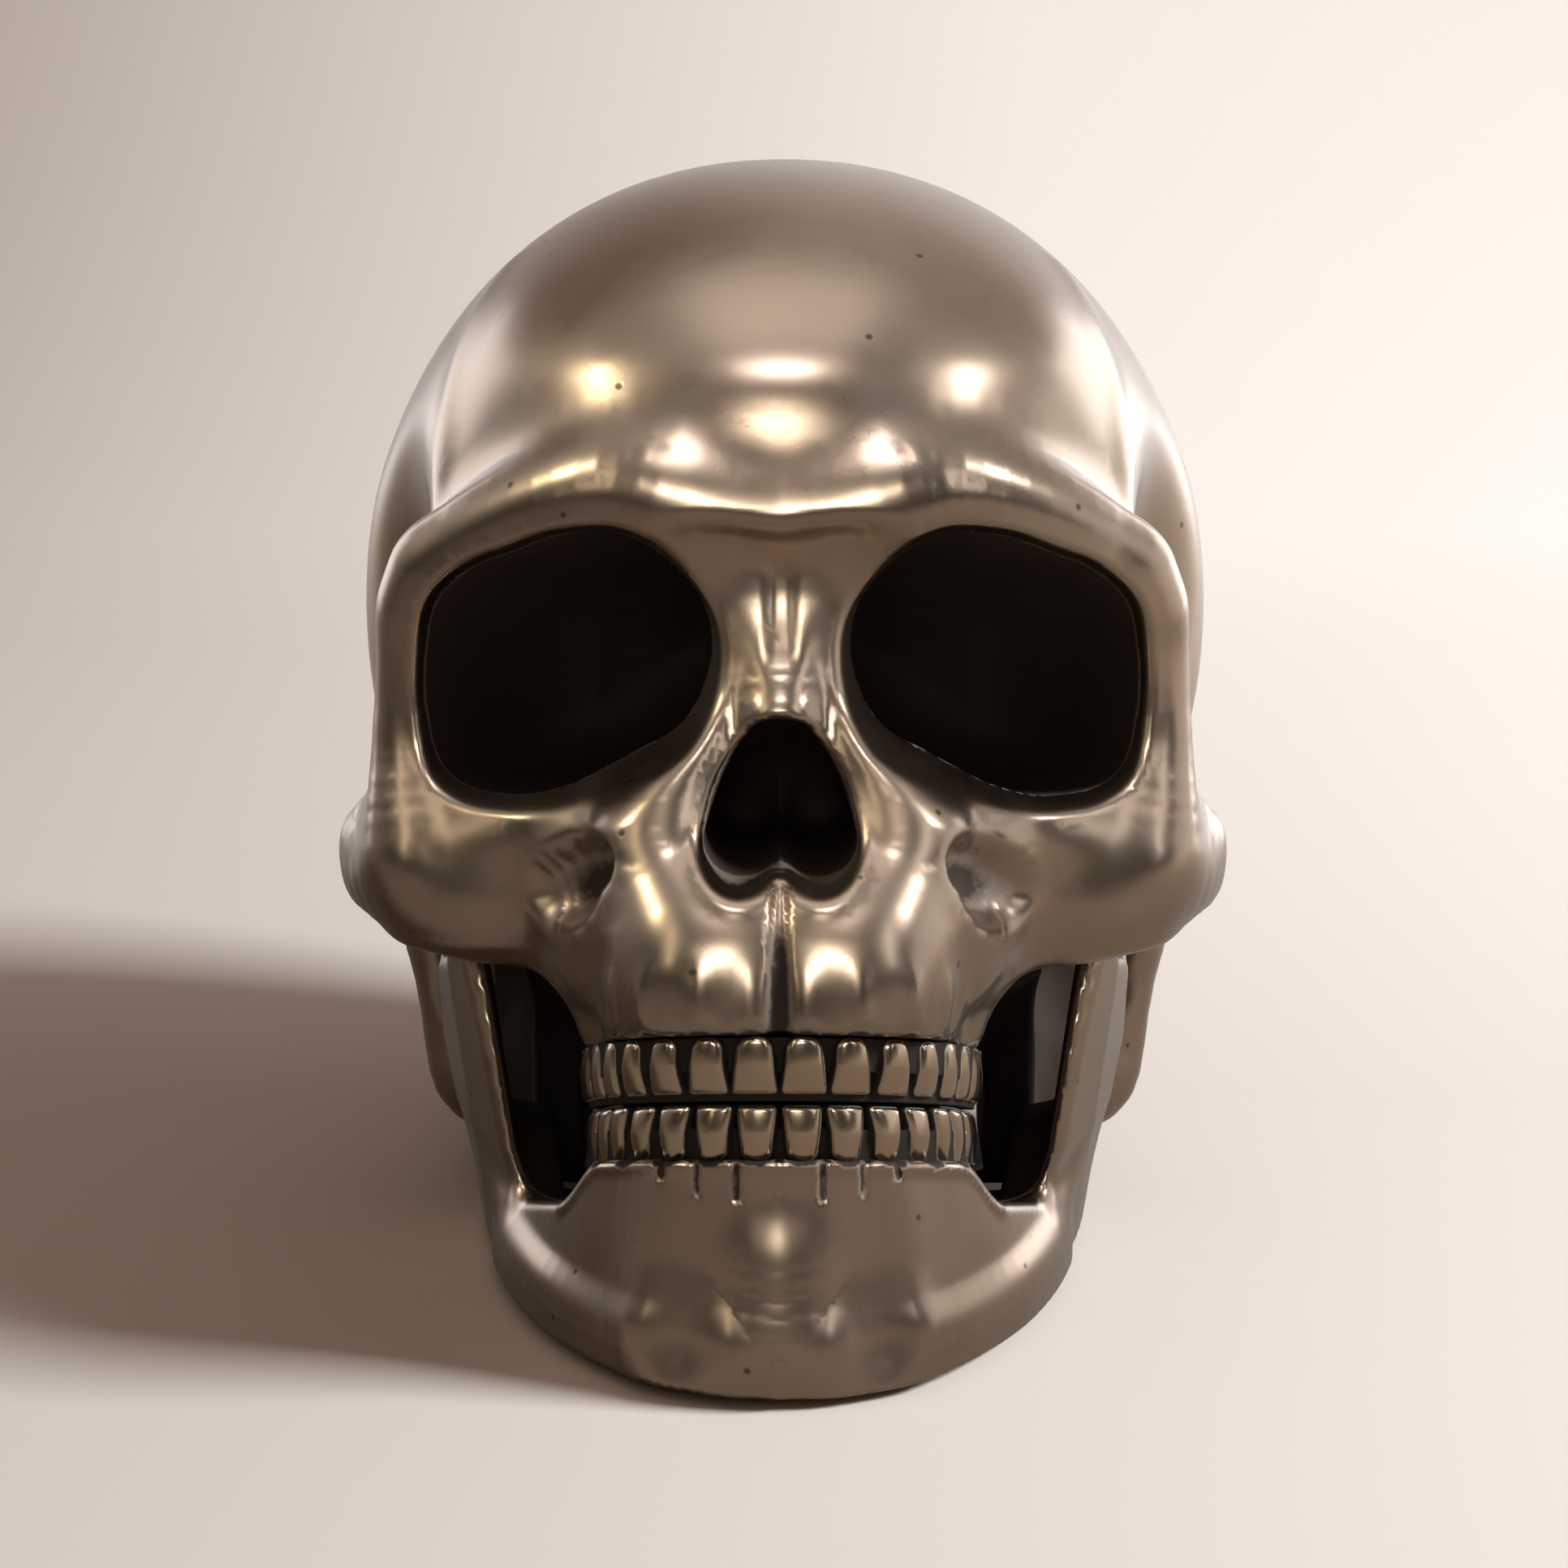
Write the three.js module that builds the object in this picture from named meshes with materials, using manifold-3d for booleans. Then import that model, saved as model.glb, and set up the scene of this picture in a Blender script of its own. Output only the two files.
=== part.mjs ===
// A life-size human skull for a Halloween shelf, cast in resin with a polished bronze finish.
// Millimetres, +Z up, the face towards -Y. The table is z = 0, and the middle of the head is x = 0.
// Every bone is a soft mass, a blob or a chain of tapered rods. The masses melt into one another, holes
// are carved out of them, and the surface where they end becomes the casting.
import * as THREE from 'three';
import { mergeVertices } from 'three/addons/utils/BufferGeometryUtils.js';
import Module from 'manifold-3d';

// Driving sizes of the skull
const skullBreadth = 147;
const skullLength = 205;
const skullHeight = 176;

// How softly one mass runs into the next
const skullBlend = 22;
const vaultBlend = 12;
const browBlend = 8;
const cheekBlend = 6;
const boneBlend = 5;
const archBlend = 4;
const edgeBlend = 2;

// Eye sockets, nose and mouth
const orbitRadius = 22.6;
const orbitDepth = 42;
const orbitWall = 3.6;
const rimFront = 66.5;
const noseDepth = 48;
const noseLobe = 6.6;
const noseTip = 5.4;

// Teeth and gums, measured at the front teeth; the bite falls towards the back of the head
const teethFront = 96;
const biteHeight = 46.4;
const biteGap = 0.4;
const upperToothHeight = 8;
const lowerToothHeight = 9.6;
const biteFall = 0.36;
const toothDepth = 6.4;
const toothRound = 1.6;
const rootBarWidth = 4.6;
const upperJawRise = 15.6;

// Hollow casting and the plate that closes it
const shellWall = 6;
const fossaWall = 5.5;
const cavityFront = 20;
const mouthRadius = 9.5;
const padThickness = 1.2;
const coverThickness = 3;
const coverRadius = 18;
const coverScrewCircle = 14;
const coverScrewCount = 3;
const coverScrewRadius = 1.3;
const coverScrewHead = 2.4;
const coverScrewLength = 10;
const coverPadRadius = 10;

// Jaw and its hinge
const jawWall = 5.6;
const jawWebHeight = 6.2;
const ramusHalfWall = 3.6;
const condyleRadius = 5.6;
const jointSpace = 1.6;
const washerThickness = 1.3;
const washerRadius = 5;
const shoulderRadius = 2.4;
const threadRadius = 1.6;
const threadLength = 8;
const screwHeadRadius = 4;
const screwHeadThickness = 2.2;
const insertRadius = 3.2;
const insertLength = 10;
const jawPadRadius = 6;

// Clearances and the grids that the castings are carved on
const seatGap = 0.3;
const overrun = 6;
const skullStep = 3.3;
const jawStep = 2.5;
const teethStep = 1.2;
const craniumFaces = 5400;
const jawFaces = 2100;
const teethFaces = 1000;
const roundSides = 16;

const degree = Math.PI / 180;
const upperGumHeight = biteHeight + upperToothHeight;
const lowerGumHeight = biteHeight - lowerToothHeight;
const halfBreadth = skullBreadth / 2;
const halfLength = skullLength / 2;

// Places are shares of half the breadth, half the length and the height; a fourth share is a radius
const place = ([x, y, z]) => [x * halfBreadth, y * halfLength, z * skullHeight];

const vaultShares = { at: [0, 0.195, 0.56], radii: [0.99, 0.82, 0.42], tilt: 18, square: 2.04 };
const foreheadShares = { at: [0, -0.068, 0.665], radii: [0.796, 0.59, 0.327], square: 2.16 };
const occiputShares = { at: [0, 0.371, 0.273], radii: [0.871, 0.468, 0.267], square: 2.2 };
const skullBaseShares = { at: [0, -0.039, 0.352], radii: [0.544, 0.429, 0.17] };
const midFaceShares = { at: [0, -0.332, 0.523], radii: [0.517, 0.312, 0.17] };
const templeShares = { at: [1.224, -0.224, 0.602], radii: [0.49, 0.302, 0.244], tilt: -10 };
const templeLowShares = { at: [0.816, -0.254, 0.341], radii: [0.197, 0.215, 0.193] };
const upperJawShares = { at: [0, -0.488, 0.318], radii: [0.389, 0.451, 4], square: 2.3 };
const upperJawFillShares = { at: [0, -0.507, 0.409], radii: [0.449, 0.254, 0.102], square: 2.2 };
const noseRootShares = { at: [0, -0.746, 0.679], radii: [0.231, 0.098, 0.037] };
const palateShares = { at: [0, -0.449, 0.216], radii: [0.299, 0.332, 0.074], tilt: 20 };
const jointHollowShares = { at: [0.722, -0.02, 0.25], radii: [0.155, 0.127, 0.1], square: 3 };
const chinSideShares = { at: [0.231, -0.98, 0.125], radii: [0.061, 0.059, 0.057] };

const browShares = [
  [0, -0.62, 0.727, 0.032],
  [0.122, -0.632, 0.741, 0.031],
  [0.259, -0.629, 0.756, 0.028],
  [0.435, -0.593, 0.741, 0.027],
  [0.599, -0.539, 0.71, 0.027],
  [0.735, -0.468, 0.673, 0.026],
];
const bridgeShares = [
  [0, -0.546, 0.682, 0.045],
  [0, -0.59, 0.625, 0.032],
  [0, -0.654, 0.591, 0.025],
  [0, -0.732, 0.557, 0.027],
];
const noseSideShares = [
  [0.116, -0.615, 0.648, 0.023],
  [0.15, -0.649, 0.597, 0.027],
  [0.197, -0.688, 0.545, 0.031],
  [0.238, -0.717, 0.494, 0.035],
  [0.238, -0.751, 0.443, 0.041],
  [0.19, -0.785, 0.398, 0.045],
];
const noseSpineShares = [
  [0, -0.824, 0.435, 0.017],
  [0, -0.839, 0.386, 0.028],
];
const canineShares = [
  [0.231, -0.854, 0.324, 0.03],
  [0.224, -0.815, 0.398, 0.028],
];
const buttressShares = [
  [0.599, -0.517, 0.358, 0.037],
  [0.476, -0.537, 0.344, 0.039],
  [0.388, -0.566, 0.307, 0.031],
  [0.361, -0.576, 0.273, 0.026],
];
const cheekHollowShares = [
  [0.49, -0.663, 0.415, 0.023],
  [0.381, -0.732, 0.398, 0.031],
  [0.347, -0.78, 0.352, 0.026],
];
const eyePillarShares = [
  [0.721, -0.459, 0.679, 0.026],
  [0.796, -0.444, 0.608, 0.022],
  [0.823, -0.449, 0.534, 0.023],
  [0.816, -0.473, 0.466, 0.03],
  [0.782, -0.498, 0.409, 0.04],
];
const cheekShares = [
  [0.782, -0.488, 0.409, 0.043],
  [0.728, -0.512, 0.392, 0.049],
  [0.639, -0.532, 0.378, 0.048],
  [0.531, -0.532, 0.369, 0.043],
];
const archShares = [
  [0.803, -0.488, 0.398, 0.048],
  [0.884, -0.4, 0.386, 0.043],
  [0.925, -0.283, 0.378, 0.036],
  [0.941, -0.137, 0.366, 0.032],
  [0.925, 0.02, 0.358, 0.034],
  [0.898, 0.137, 0.341, 0.043],
];
const archFlatness = 1.5;
const mastoidShares = [
  [0.816, 0.205, 0.295, 0.062],
  [0.803, 0.166, 0.193, 0.051],
  [0.789, 0.146, 0.102, 0.048],
  [0.762, 0.137, 0.08, 0.043],
];
const chinShares = [
  [0, -0.907, 0.108, 0.028],
  [0, -0.907, 0.045, 0.041],
  [0.17, -0.893, 0.037, 0.035],
];

// The eye socket: its middle at the rim and at the back, and its radius every 22.5 degrees from the
// side of the head, up and round, as shares of the orbit radius
const orbitRimShare = [0.456, 0, 0.591];
const orbitBackShare = [0.231, 0, 0.557];
const orbitShares = [
  1, 0.98, 0.885, 0.83, 0.9, 1.01, 1.06, 1.06,
  0.99, 0.945, 0.9, 0.9, 0.965, 1.115, 1.255, 1.1,
];
const rimWallShares = [
  0.18, 0.185, 0.22, 0.24, 0.24, 0.23, 0.22, 0.195,
  0.16, 0.15, 0.16, 0.175, 0.185, 0.195, 0.195, 0.18,
];
const rimTurnInShare = 0.109;
const rimTurnOutShare = 0.408;
const noseTopShare = [0.005, 0, 0.535];
const noseLobeShare = [0.077, 0, 0.4545];

// Dental arches seen from above, shares of half the breadth and half the length; teeth add a width
const upperTeethShares = [
  [0.049, -0.929, 0.075],
  [0.141, -0.911, 0.075],
  [0.226, -0.87, 0.073],
  [0.288, -0.812, 0.071],
  [0.332, -0.745, 0.071],
  [0.365, -0.675, 0.079],
  [0.386, -0.599, 0.087],
  [0.4, -0.521, 0.087],
];
const lowerTeethShares = [
  [0.045, -0.905, 0.068],
  [0.132, -0.892, 0.068],
  [0.212, -0.855, 0.071],
  [0.275, -0.798, 0.071],
  [0.321, -0.736, 0.071],
  [0.354, -0.667, 0.082],
  [0.376, -0.591, 0.087],
  [0.389, -0.515, 0.084],
];

// The jaw from above, along its lower border and along the gum, and its ramus seen from the side
const jawBorderShares = [
  [0, -0.902],
  [0.122, -0.898],
  [0.231, -0.863],
  [0.34, -0.78],
  [0.449, -0.663],
  [0.531, -0.527],
  [0.585, -0.39],
  [0.626, -0.254],
  [0.639, -0.156],
];
const jawGumShares = [
  [0, -0.893],
  [0.109, -0.878],
  [0.204, -0.839],
  [0.286, -0.771],
  [0.34, -0.683],
  [0.374, -0.585],
  [0.395, -0.488],
  [0.422, -0.41],
  [0.463, -0.332],
];
const biteSpaceShares = { middle: -0.72, depth: 0.6, width: 0.47 };
const gumRiseShares = [0.034, 0.205];
const shelfShares = { height: 0.108, start: -0.546, end: -0.39, rise: 0.057 };
const ramusCornerShares = [
  [0, -0.302, 0.097, 0.088],
  [0, -0.273, 0.193, 0.085],
];
const ramusFrontShares = [
  [0, -0.361, 0.205, 0.054],
  [0, -0.361, 0.284, 0.034],
  [0, -0.332, 0.324, 0.018],
];
const ramusBackShares = [
  [0, -0.195, 0.193, 0.051],
  [0, -0.098, 0.25, 0.04],
  [0, 0, 0.29, 0.028],
];
const ramusPlaneShares = { x: 0.605, y: -0.468, z: 0.284, turn: 0.27, lean: 0.13, widest: 0.741 };
const condyleShare = [0.592, 0.005, 0.298];
const condyleLengthShare = 0.2;
const jawPadShares = [
  [0.19, -0.83],
  [0.5, -0.4],
];
const coverShare = [0, 0.371, 0];

// Slopes, and shares of the piece that each one shapes
const upperJawSlopes = { lean: 0.4, topFall: 0.14 };
const rimTurnShares = { in: 0.2, out: 0.27 };
const socketShares = { roundPower: 2.4, flare: 0.25, steepness: 0.9 };
const cavityFloorShares = { height: 0.142, rise: 1.2 };
const jawBoneShares = { back: -0.41, thinning: 0.14, shelfLean: 0.25, webBack: -0.195 };
const toothShares = { bar: 0.36, barBack: 0.25, forward: 0.125, narrowing: 0.13, narrowFrom: 0.2 };
const biteEdgeShares = { front: 0.12, back: 0.03, frontTeeth: 4 };
const mouthTopShare = 0.2;
const jawBoxShares = { back: 0.12, top: 0.36 };
const teethBoxShares = { half: 0.5, back: -0.42, low: 0.15, high: 0.34 };
const condyleClearShares = { inner: 1.6, outer: 1.2 };

// Limits of the carving and of the thinning of its faces
const blockCount = 4;
const blockReachShare = 1.4;
const tinyShare = 1e-9;
const snapShare = 0.03;
const flatShare = 1e-3;
const edgeCostShare = 1e-4;
const bendShare = 0.3;
const thinShare = 0.05;
const relaxRounds = 3;
const relaxShare = 0.6;

function smoothMin(a, b, blend) {
  const overlap = Math.max(blend - Math.abs(a - b), 0) / blend;
  return Math.min(a, b) - (overlap * overlap * blend) / 4;
}

const smoothMax = (a, b, blend) => -smoothMin(-a, -b, blend);
const clamp01 = (value) => Math.min(Math.max(value, 0), 1);

// A blob is an ellipsoid, squarer as its power rises, whose front end is tilted up by some degrees
function blob({ at, radii, tilt = 0, square = 2 }) {
  const [cx, cy, cz] = place(at);
  const [rx, ry, rz] = place(radii);
  const cosTilt = Math.cos(tilt * degree);
  const sinTilt = Math.sin(tilt * degree);
  return (x, y, z) => {
    const dy = y - cy;
    const dz = z - cz;
    const u = Math.abs(x - cx) / rx;
    const v = Math.abs(dy * cosTilt - dz * sinTilt) / ry;
    const w = Math.abs(dy * sinTilt + dz * cosTilt) / rz;
    const size = (u ** square + v ** square + w ** square) ** (1 / square) + tinyShare;
    const slope = Math.hypot(u ** (square - 1) / rx, v ** (square - 1) / ry, w ** (square - 1) / rz);
    return (size - 1) / (slope * size ** (1 - square) + tinyShare);
  };
}

// A chain is a run of tapered rods, flattened across the head by its flatness
function chain(shares, blend, flatness = 1) {
  const knots = shares.map((share) => [...place(share), share[3] * skullHeight]);
  return (x, y, z) => {
    let nearest = Infinity;
    for (let i = 1; i < knots.length; i += 1) {
      const [ax, ay, az, ar] = knots[i - 1];
      const [bx, by, bz, br] = knots[i];
      const px = (x - ax) * flatness;
      const rodX = (bx - ax) * flatness;
      const dot = px * rodX + (y - ay) * (by - ay) + (z - az) * (bz - az);
      const along = clamp01(dot / (rodX * rodX + (by - ay) ** 2 + (bz - az) ** 2));
      const offX = px - along * rodX;
      const offY = y - ay - along * (by - ay);
      const offZ = z - az - along * (bz - az);
      const distance = Math.sqrt(offX * offX + offY * offY + offZ * offZ) - ar - along * (br - ar);
      nearest = i === 1 ? distance : smoothMin(nearest, distance, blend);
    }
    return nearest;
  };
}

// A smooth closed curve through shares at equal angles
function roundShare(angle, shares) {
  const count = shares.length;
  const turn = ((angle / (2 * Math.PI)) * count + count) % count;
  const i = Math.floor(turn) % count;
  const t = turn - Math.floor(turn);
  const [a, b, c, d] = [-1, 0, 1, 2].map((step) => shares[(i + step + count) % count]);
  return b + 0.5 * t * (c - a + t * (2 * a - 5 * b + 4 * c - d + t * (3 * (b - c) + d - a)));
}

// Distance in plan to a line between two outlines, one at share 0 and the other at share 1
function outlineDistance(lower, upper) {
  const low = lower.map(([x, y]) => [x * halfBreadth, y * halfLength]);
  const high = upper.map(([x, y]) => [x * halfBreadth, y * halfLength]);
  return (x, y, share) => {
    let nearest = Infinity;
    for (let i = 1; i < low.length; i += 1) {
      const ax = low[i - 1][0] + (high[i - 1][0] - low[i - 1][0]) * share;
      const ay = low[i - 1][1] + (high[i - 1][1] - low[i - 1][1]) * share;
      const alongX = low[i][0] + (high[i][0] - low[i][0]) * share - ax;
      const alongY = low[i][1] + (high[i][1] - low[i][1]) * share - ay;
      const along = clamp01(((x - ax) * alongX + (y - ay) * alongY) / (alongX ** 2 + alongY ** 2));
      nearest = Math.min(nearest, Math.hypot(x - ax - along * alongX, y - ay - along * alongY));
    }
    return nearest;
  };
}

// Height above the table of a point once the fall of the bite is taken out
const biteLevel = (y, z) => z + biteFall * (y + teethFront);

// The eye socket's rim turns back towards the side of the head
function rimDepth(x) {
  const turnIn = Math.max(x - rimTurnInShare * halfBreadth, 0) * rimTurnShares.in;
  const turnOut = Math.max(x - rimTurnOutShare * halfBreadth, 0) * rimTurnShares.out;
  return turnIn + turnOut - rimFront;
}

function orbitFrame(x, y, z) {
  const [rimX, , rimZ] = place(orbitRimShare);
  const [backX, , backZ] = place(orbitBackShare);
  const depth = clamp01((y - rimDepth(x)) / orbitDepth);
  const dx = x - rimX - (backX - rimX) * depth;
  const dz = z - rimZ - (backZ - rimZ) * depth;
  const angle = Math.atan2(dz, dx);
  return { depth, angle, out: Math.hypot(dx, dz) - orbitRadius * roundShare(angle, orbitShares) };
}

function orbit(x, y, z, wall) {
  const { depth, angle, out } = orbitFrame(x, y, z);
  const radius = orbitRadius * roundShare(angle, orbitShares);
  const { roundPower, flare, steepness } = socketShares;
  const shrink = radius * (1 - Math.sqrt(Math.max(1 - depth ** roundPower, 0)));
  const ahead = Math.max(rimDepth(x) - y, 0);
  const side = (out + shrink - wall - ahead * flare) * steepness;
  return smoothMax(side, y - rimDepth(x) - orbitDepth - wall, browBlend);
}

function orbitRim(x, y, z) {
  const { angle, out } = orbitFrame(x, y, z);
  const wall = orbitRadius * roundShare(angle, rimWallShares);
  return Math.hypot(out - wall, y - rimDepth(x) - wall) - wall;
}

function noseOpening(x, y, z) {
  const [topX, , topZ] = place(noseTopShare);
  const [lobeX, , lobeZ] = place(noseLobeShare);
  const along = clamp01(((x - topX) * (lobeX - topX) + (z - topZ) * (lobeZ - topZ))
    / ((lobeX - topX) ** 2 + (lobeZ - topZ) ** 2));
  const across = Math.hypot(x - topX - along * (lobeX - topX), z - topZ - along * (lobeZ - topZ));
  return smoothMax(across - noseTip - along * (noseLobe - noseTip), y + noseDepth, cheekBlend);
}

const vault = blob(vaultShares);
const forehead = blob(foreheadShares);
const occiput = blob(occiputShares);
const skullBase = blob(skullBaseShares);
const temple = blob(templeShares);
const templeLow = blob(templeLowShares);

function brainCase(x, y, z) {
  const top = smoothMin(vault(x, y, z), forehead(x, y, z), vaultBlend);
  return smoothMin(smoothMin(top, occiput(x, y, z), skullBlend), skullBase(x, y, z), vaultBlend);
}

const templeHollow = (x, y, z) => smoothMin(temple(x, y, z), templeLow(x, y, z), browBlend);

const upperJawPlan = blob(upperJawShares);
const upperJawFill = blob(upperJawFillShares);
const canine = chain(canineShares, archBlend);
const buttress = chain(buttressShares, cheekBlend);
const noseSide = chain(noseSideShares, cheekBlend);
const noseSpine = chain(noseSpineShares, archBlend);

// The upper jaw leans forward to the gum, which cuts it off above the teeth
function upperJaw(x, y, z) {
  const middle = upperJawShares.at[2] * skullHeight;
  const plan = upperJawPlan(x, y - upperJawSlopes.lean * (z - middle), middle);
  const topFall = upperJawSlopes.topFall * (y + teethFront);
  const top = biteLevel(y, z) - topFall - upperGumHeight - upperJawRise;
  let bone = smoothMin(smoothMax(plan, top, vaultBlend), canine(x, y, z), archBlend);
  bone = smoothMax(bone, upperGumHeight - biteLevel(y, z), edgeBlend);
  bone = smoothMin(smoothMin(noseSide(x, y, z), bone, cheekBlend), upperJawFill(x, y, z), cheekBlend);
  return smoothMin(smoothMin(bone, buttress(x, y, z), browBlend), noseSpine(x, y, z), archBlend);
}

const midFace = blob(midFaceShares);
const brow = chain(browShares, boneBlend);
const bridge = chain(bridgeShares, archBlend);
const noseRoot = blob(noseRootShares);
const eyePillar = chain(eyePillarShares, archBlend);
const cheek = chain(cheekShares, boneBlend);
const arch = chain(archShares, archBlend, archFlatness);
const mastoid = chain(mastoidShares, boneBlend);
const cheekHollow = chain(cheekHollowShares, archBlend);
const palate = blob(palateShares);
const jointHollow = blob(jointHollowShares);

function craniumField(signedX, y, z) {
  const x = Math.abs(signedX);
  const inside = brainCase(x, y, z);
  const hollow = templeHollow(x, y, z);
  let bone = smoothMin(smoothMax(inside, -hollow, archBlend), midFace(x, y, z), browBlend);
  bone = smoothMin(bone, brow(x, y, z), browBlend);
  bone = smoothMin(bone, smoothMax(orbit(x, y, z, orbitWall), rimDepth(x) - y, archBlend), archBlend);
  bone = smoothMin(smoothMin(bone, orbitRim(x, y, z), boneBlend), bridge(x, y, z), boneBlend);
  bone = smoothMax(bone, -noseRoot(x, y, z), cheekBlend);
  bone = smoothMin(bone, upperJaw(x, y, z), boneBlend);
  bone = smoothMin(bone, smoothMin(eyePillar(x, y, z), cheek(x, y, z), boneBlend), cheekBlend);
  bone = smoothMin(smoothMin(bone, arch(x, y, z), archBlend), mastoid(x, y, z), browBlend);
  bone = smoothMax(smoothMax(bone, -cheekHollow(x, y, z), boneBlend), -orbit(x, y, z, 0), edgeBlend);
  bone = smoothMax(smoothMax(bone, -noseOpening(x, y, z), edgeBlend), -palate(x, y, z), archBlend);
  bone = smoothMax(bone, -jointHollow(x, y, z), archBlend);
  let cavity = smoothMax(inside + shellWall, -y - cavityFront, browBlend);
  cavity = smoothMax(cavity, fossaWall - hollow, cheekBlend);
  cavity = smoothMax(cavity, cavityFloor(y) - z, browBlend);
  return smoothMax(bone, -cavity, edgeBlend);
}

// The floor of the hollow braincase falls towards the mouth that the cover closes
function cavityFloor(y) {
  const [, mouthY] = place(coverShare);
  return cavityFloorShares.height * skullHeight + Math.max(mouthY - y, 0) * cavityFloorShares.rise;
}

const jawPlan = outlineDistance(jawBorderShares, jawGumShares);
const chin = chain(chinShares, boneBlend);
const chinSide = blob(chinSideShares);
const ramusCorner = chain(ramusCornerShares, boneBlend);
const ramusFront = chain(ramusFrontShares, archBlend);
const ramusBack = chain(ramusBackShares, archBlend);

// Half width of the web that closes the underside of the jaw
function webHalfWidth(y) {
  const outline = jawBorderShares.map(([x, depth]) => [x * halfBreadth, depth * halfLength]);
  const next = outline.findIndex((point) => point[1] > y);
  if (next < 1) return next === 0 ? 0 : outline.at(-1)[0];
  const [[ax, ay], [bx, by]] = [outline[next - 1], outline[next]];
  return ax + ((bx - ax) * (y - ay)) / (by - ay);
}

function ramus(x, y, z) {
  const { x: startX, y: startY, z: startZ, turn, lean, widest } = ramusPlaneShares;
  const turnOut = (y - startY * halfLength) * turn + (z - startZ * skullHeight) * lean;
  const middle = Math.min(startX * halfBreadth + turnOut, widest * halfBreadth);
  let plate = smoothMin(ramusCorner(0, y, z), ramusFront(0, y, z), cheekBlend);
  plate = smoothMin(plate, ramusBack(0, y, z), boneBlend);
  return smoothMax(plate, Math.abs(x - middle) - ramusHalfWall, archBlend);
}

function jawField(signedX, y, z) {
  const x = Math.abs(signedX);
  const { back, thinning, shelfLean, webBack } = jawBoneShares;
  const rise = clamp01((z / skullHeight - gumRiseShares[0]) / (gumRiseShares[1] - gumRiseShares[0]));
  const gumTop = lowerGumHeight - biteFall * (y + teethFront);
  const wall = jawWall * (1 - rise * thinning);
  let bone = smoothMax(jawPlan(x, y, rise) - wall, z - gumTop, edgeBlend);
  bone = smoothMax(bone, y - back * halfLength, archBlend);
  const along = clamp01((y / halfLength - shelfShares.start) / (shelfShares.end - shelfShares.start));
  const shelfTop = (shelfShares.height + shelfShares.rise * along) * skullHeight;
  const shelf = smoothMax(jawPlan(x, y, rise * shelfLean) - jawWall, z - shelfTop, archBlend);
  bone = smoothMin(smoothMin(bone, shelf, archBlend), chin(x, y, z), cheekBlend);
  bone = smoothMax(bone, -chinSide(x, y, z), cheekBlend);
  const web = Math.max(x - webHalfWidth(y), y - webBack * halfLength, z - jawWebHeight);
  bone = smoothMin(smoothMin(bone, ramus(x, y, z), cheekBlend), web, archBlend);
  const [condyleX, condyleY, condyleZ] = place(condyleShare);
  const condyleEnd = condyleX + condyleLengthShare * halfBreadth;
  const beyond = Math.max(condyleX - x, x - condyleEnd, 0);
  const condyle = Math.hypot(beyond, y - condyleY, z - condyleZ) - condyleRadius;
  return smoothMin(bone, condyle, archBlend);
}

// A rounded block across a tooth, along its row and up it, from its size and its corner radius
function roundedBlock(distances, radius) {
  const [a, b, c] = distances.map((distance) => distance + radius);
  const inside = Math.min(Math.max(a, b, c), 0);
  return Math.hypot(Math.max(a, 0), Math.max(b, 0), Math.max(c, 0)) + inside - radius;
}

// Each tooth has a place, the way its row runs there, a width and how far its biting edge thins
function toothPlaces(shares) {
  const teeth = shares.map(([x, y, width]) => [x * halfBreadth, y * halfLength, width * halfBreadth]);
  return teeth.map(([x, y, width], i) => {
    const before = i === 0 ? [-teeth[0][0], teeth[0][1]] : teeth[i - 1];
    const after = teeth[Math.min(i + 1, teeth.length - 1)];
    const length = Math.hypot(after[0] - before[0], after[1] - before[1]);
    const alongX = (after[0] - before[0]) / length;
    const alongY = (after[1] - before[1]) / length;
    const thin = i < biteEdgeShares.frontTeeth ? biteEdgeShares.front : biteEdgeShares.back;
    return { x, y, width, alongX, alongY, thin };
  });
}

// One row of teeth: a rounded block for each tooth on a bar of roots behind them
function teethField(shares, low, high, gumSide) {
  const teeth = toothPlaces(shares);
  const middle = (low + high) / 2;
  const halfHeight = (high - low) / 2;
  const { bar: barShare, barBack, forward, narrowing, narrowFrom } = toothShares;
  const front = [0, shares[0][1]];
  const bar = outlineDistance([front, ...shares], [front, ...shares]);
  const barMiddle = middle + gumSide * (halfHeight - rootBarWidth / 2 - seatGap);
  return (signedX, y, z) => {
    const x = Math.abs(signedX);
    const level = biteLevel(y, z);
    const barSide = bar(x, y - toothDepth * barBack, 0) - toothDepth * barShare;
    let row = Math.max(barSide, Math.abs(level - barMiddle) - rootBarWidth / 2);
    const toGum = ((level - middle) / halfHeight) * gumSide;
    teeth.forEach((tooth) => {
      const along = Math.abs((x - tooth.x) * tooth.alongX + (y - tooth.y) * tooth.alongY);
      const outward = (x - tooth.x) * tooth.alongY - (y - tooth.y) * tooth.alongX;
      const narrow = narrowing * tooth.width * Math.max(Math.min(toGum + narrowFrom, 1), -1);
      const set = toothDepth * (forward + tooth.thin * clamp01(-toGum));
      const side = along - tooth.width / 2 + narrow;
      const depth = Math.abs(outward + set) - toothDepth / 2;
      row = Math.min(row, roundedBlock([side, depth, Math.abs(level - middle) - halfHeight], toothRound));
    });
    return row;
  };
}

// Six tetrahedra share the long diagonal of a grid cell; corner bits are x, y and z
const tetrahedra = [
  [0, 1, 3, 7],
  [0, 3, 2, 7],
  [0, 2, 6, 7],
  [0, 6, 4, 7],
  [0, 4, 5, 7],
  [0, 5, 1, 7],
];

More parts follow.
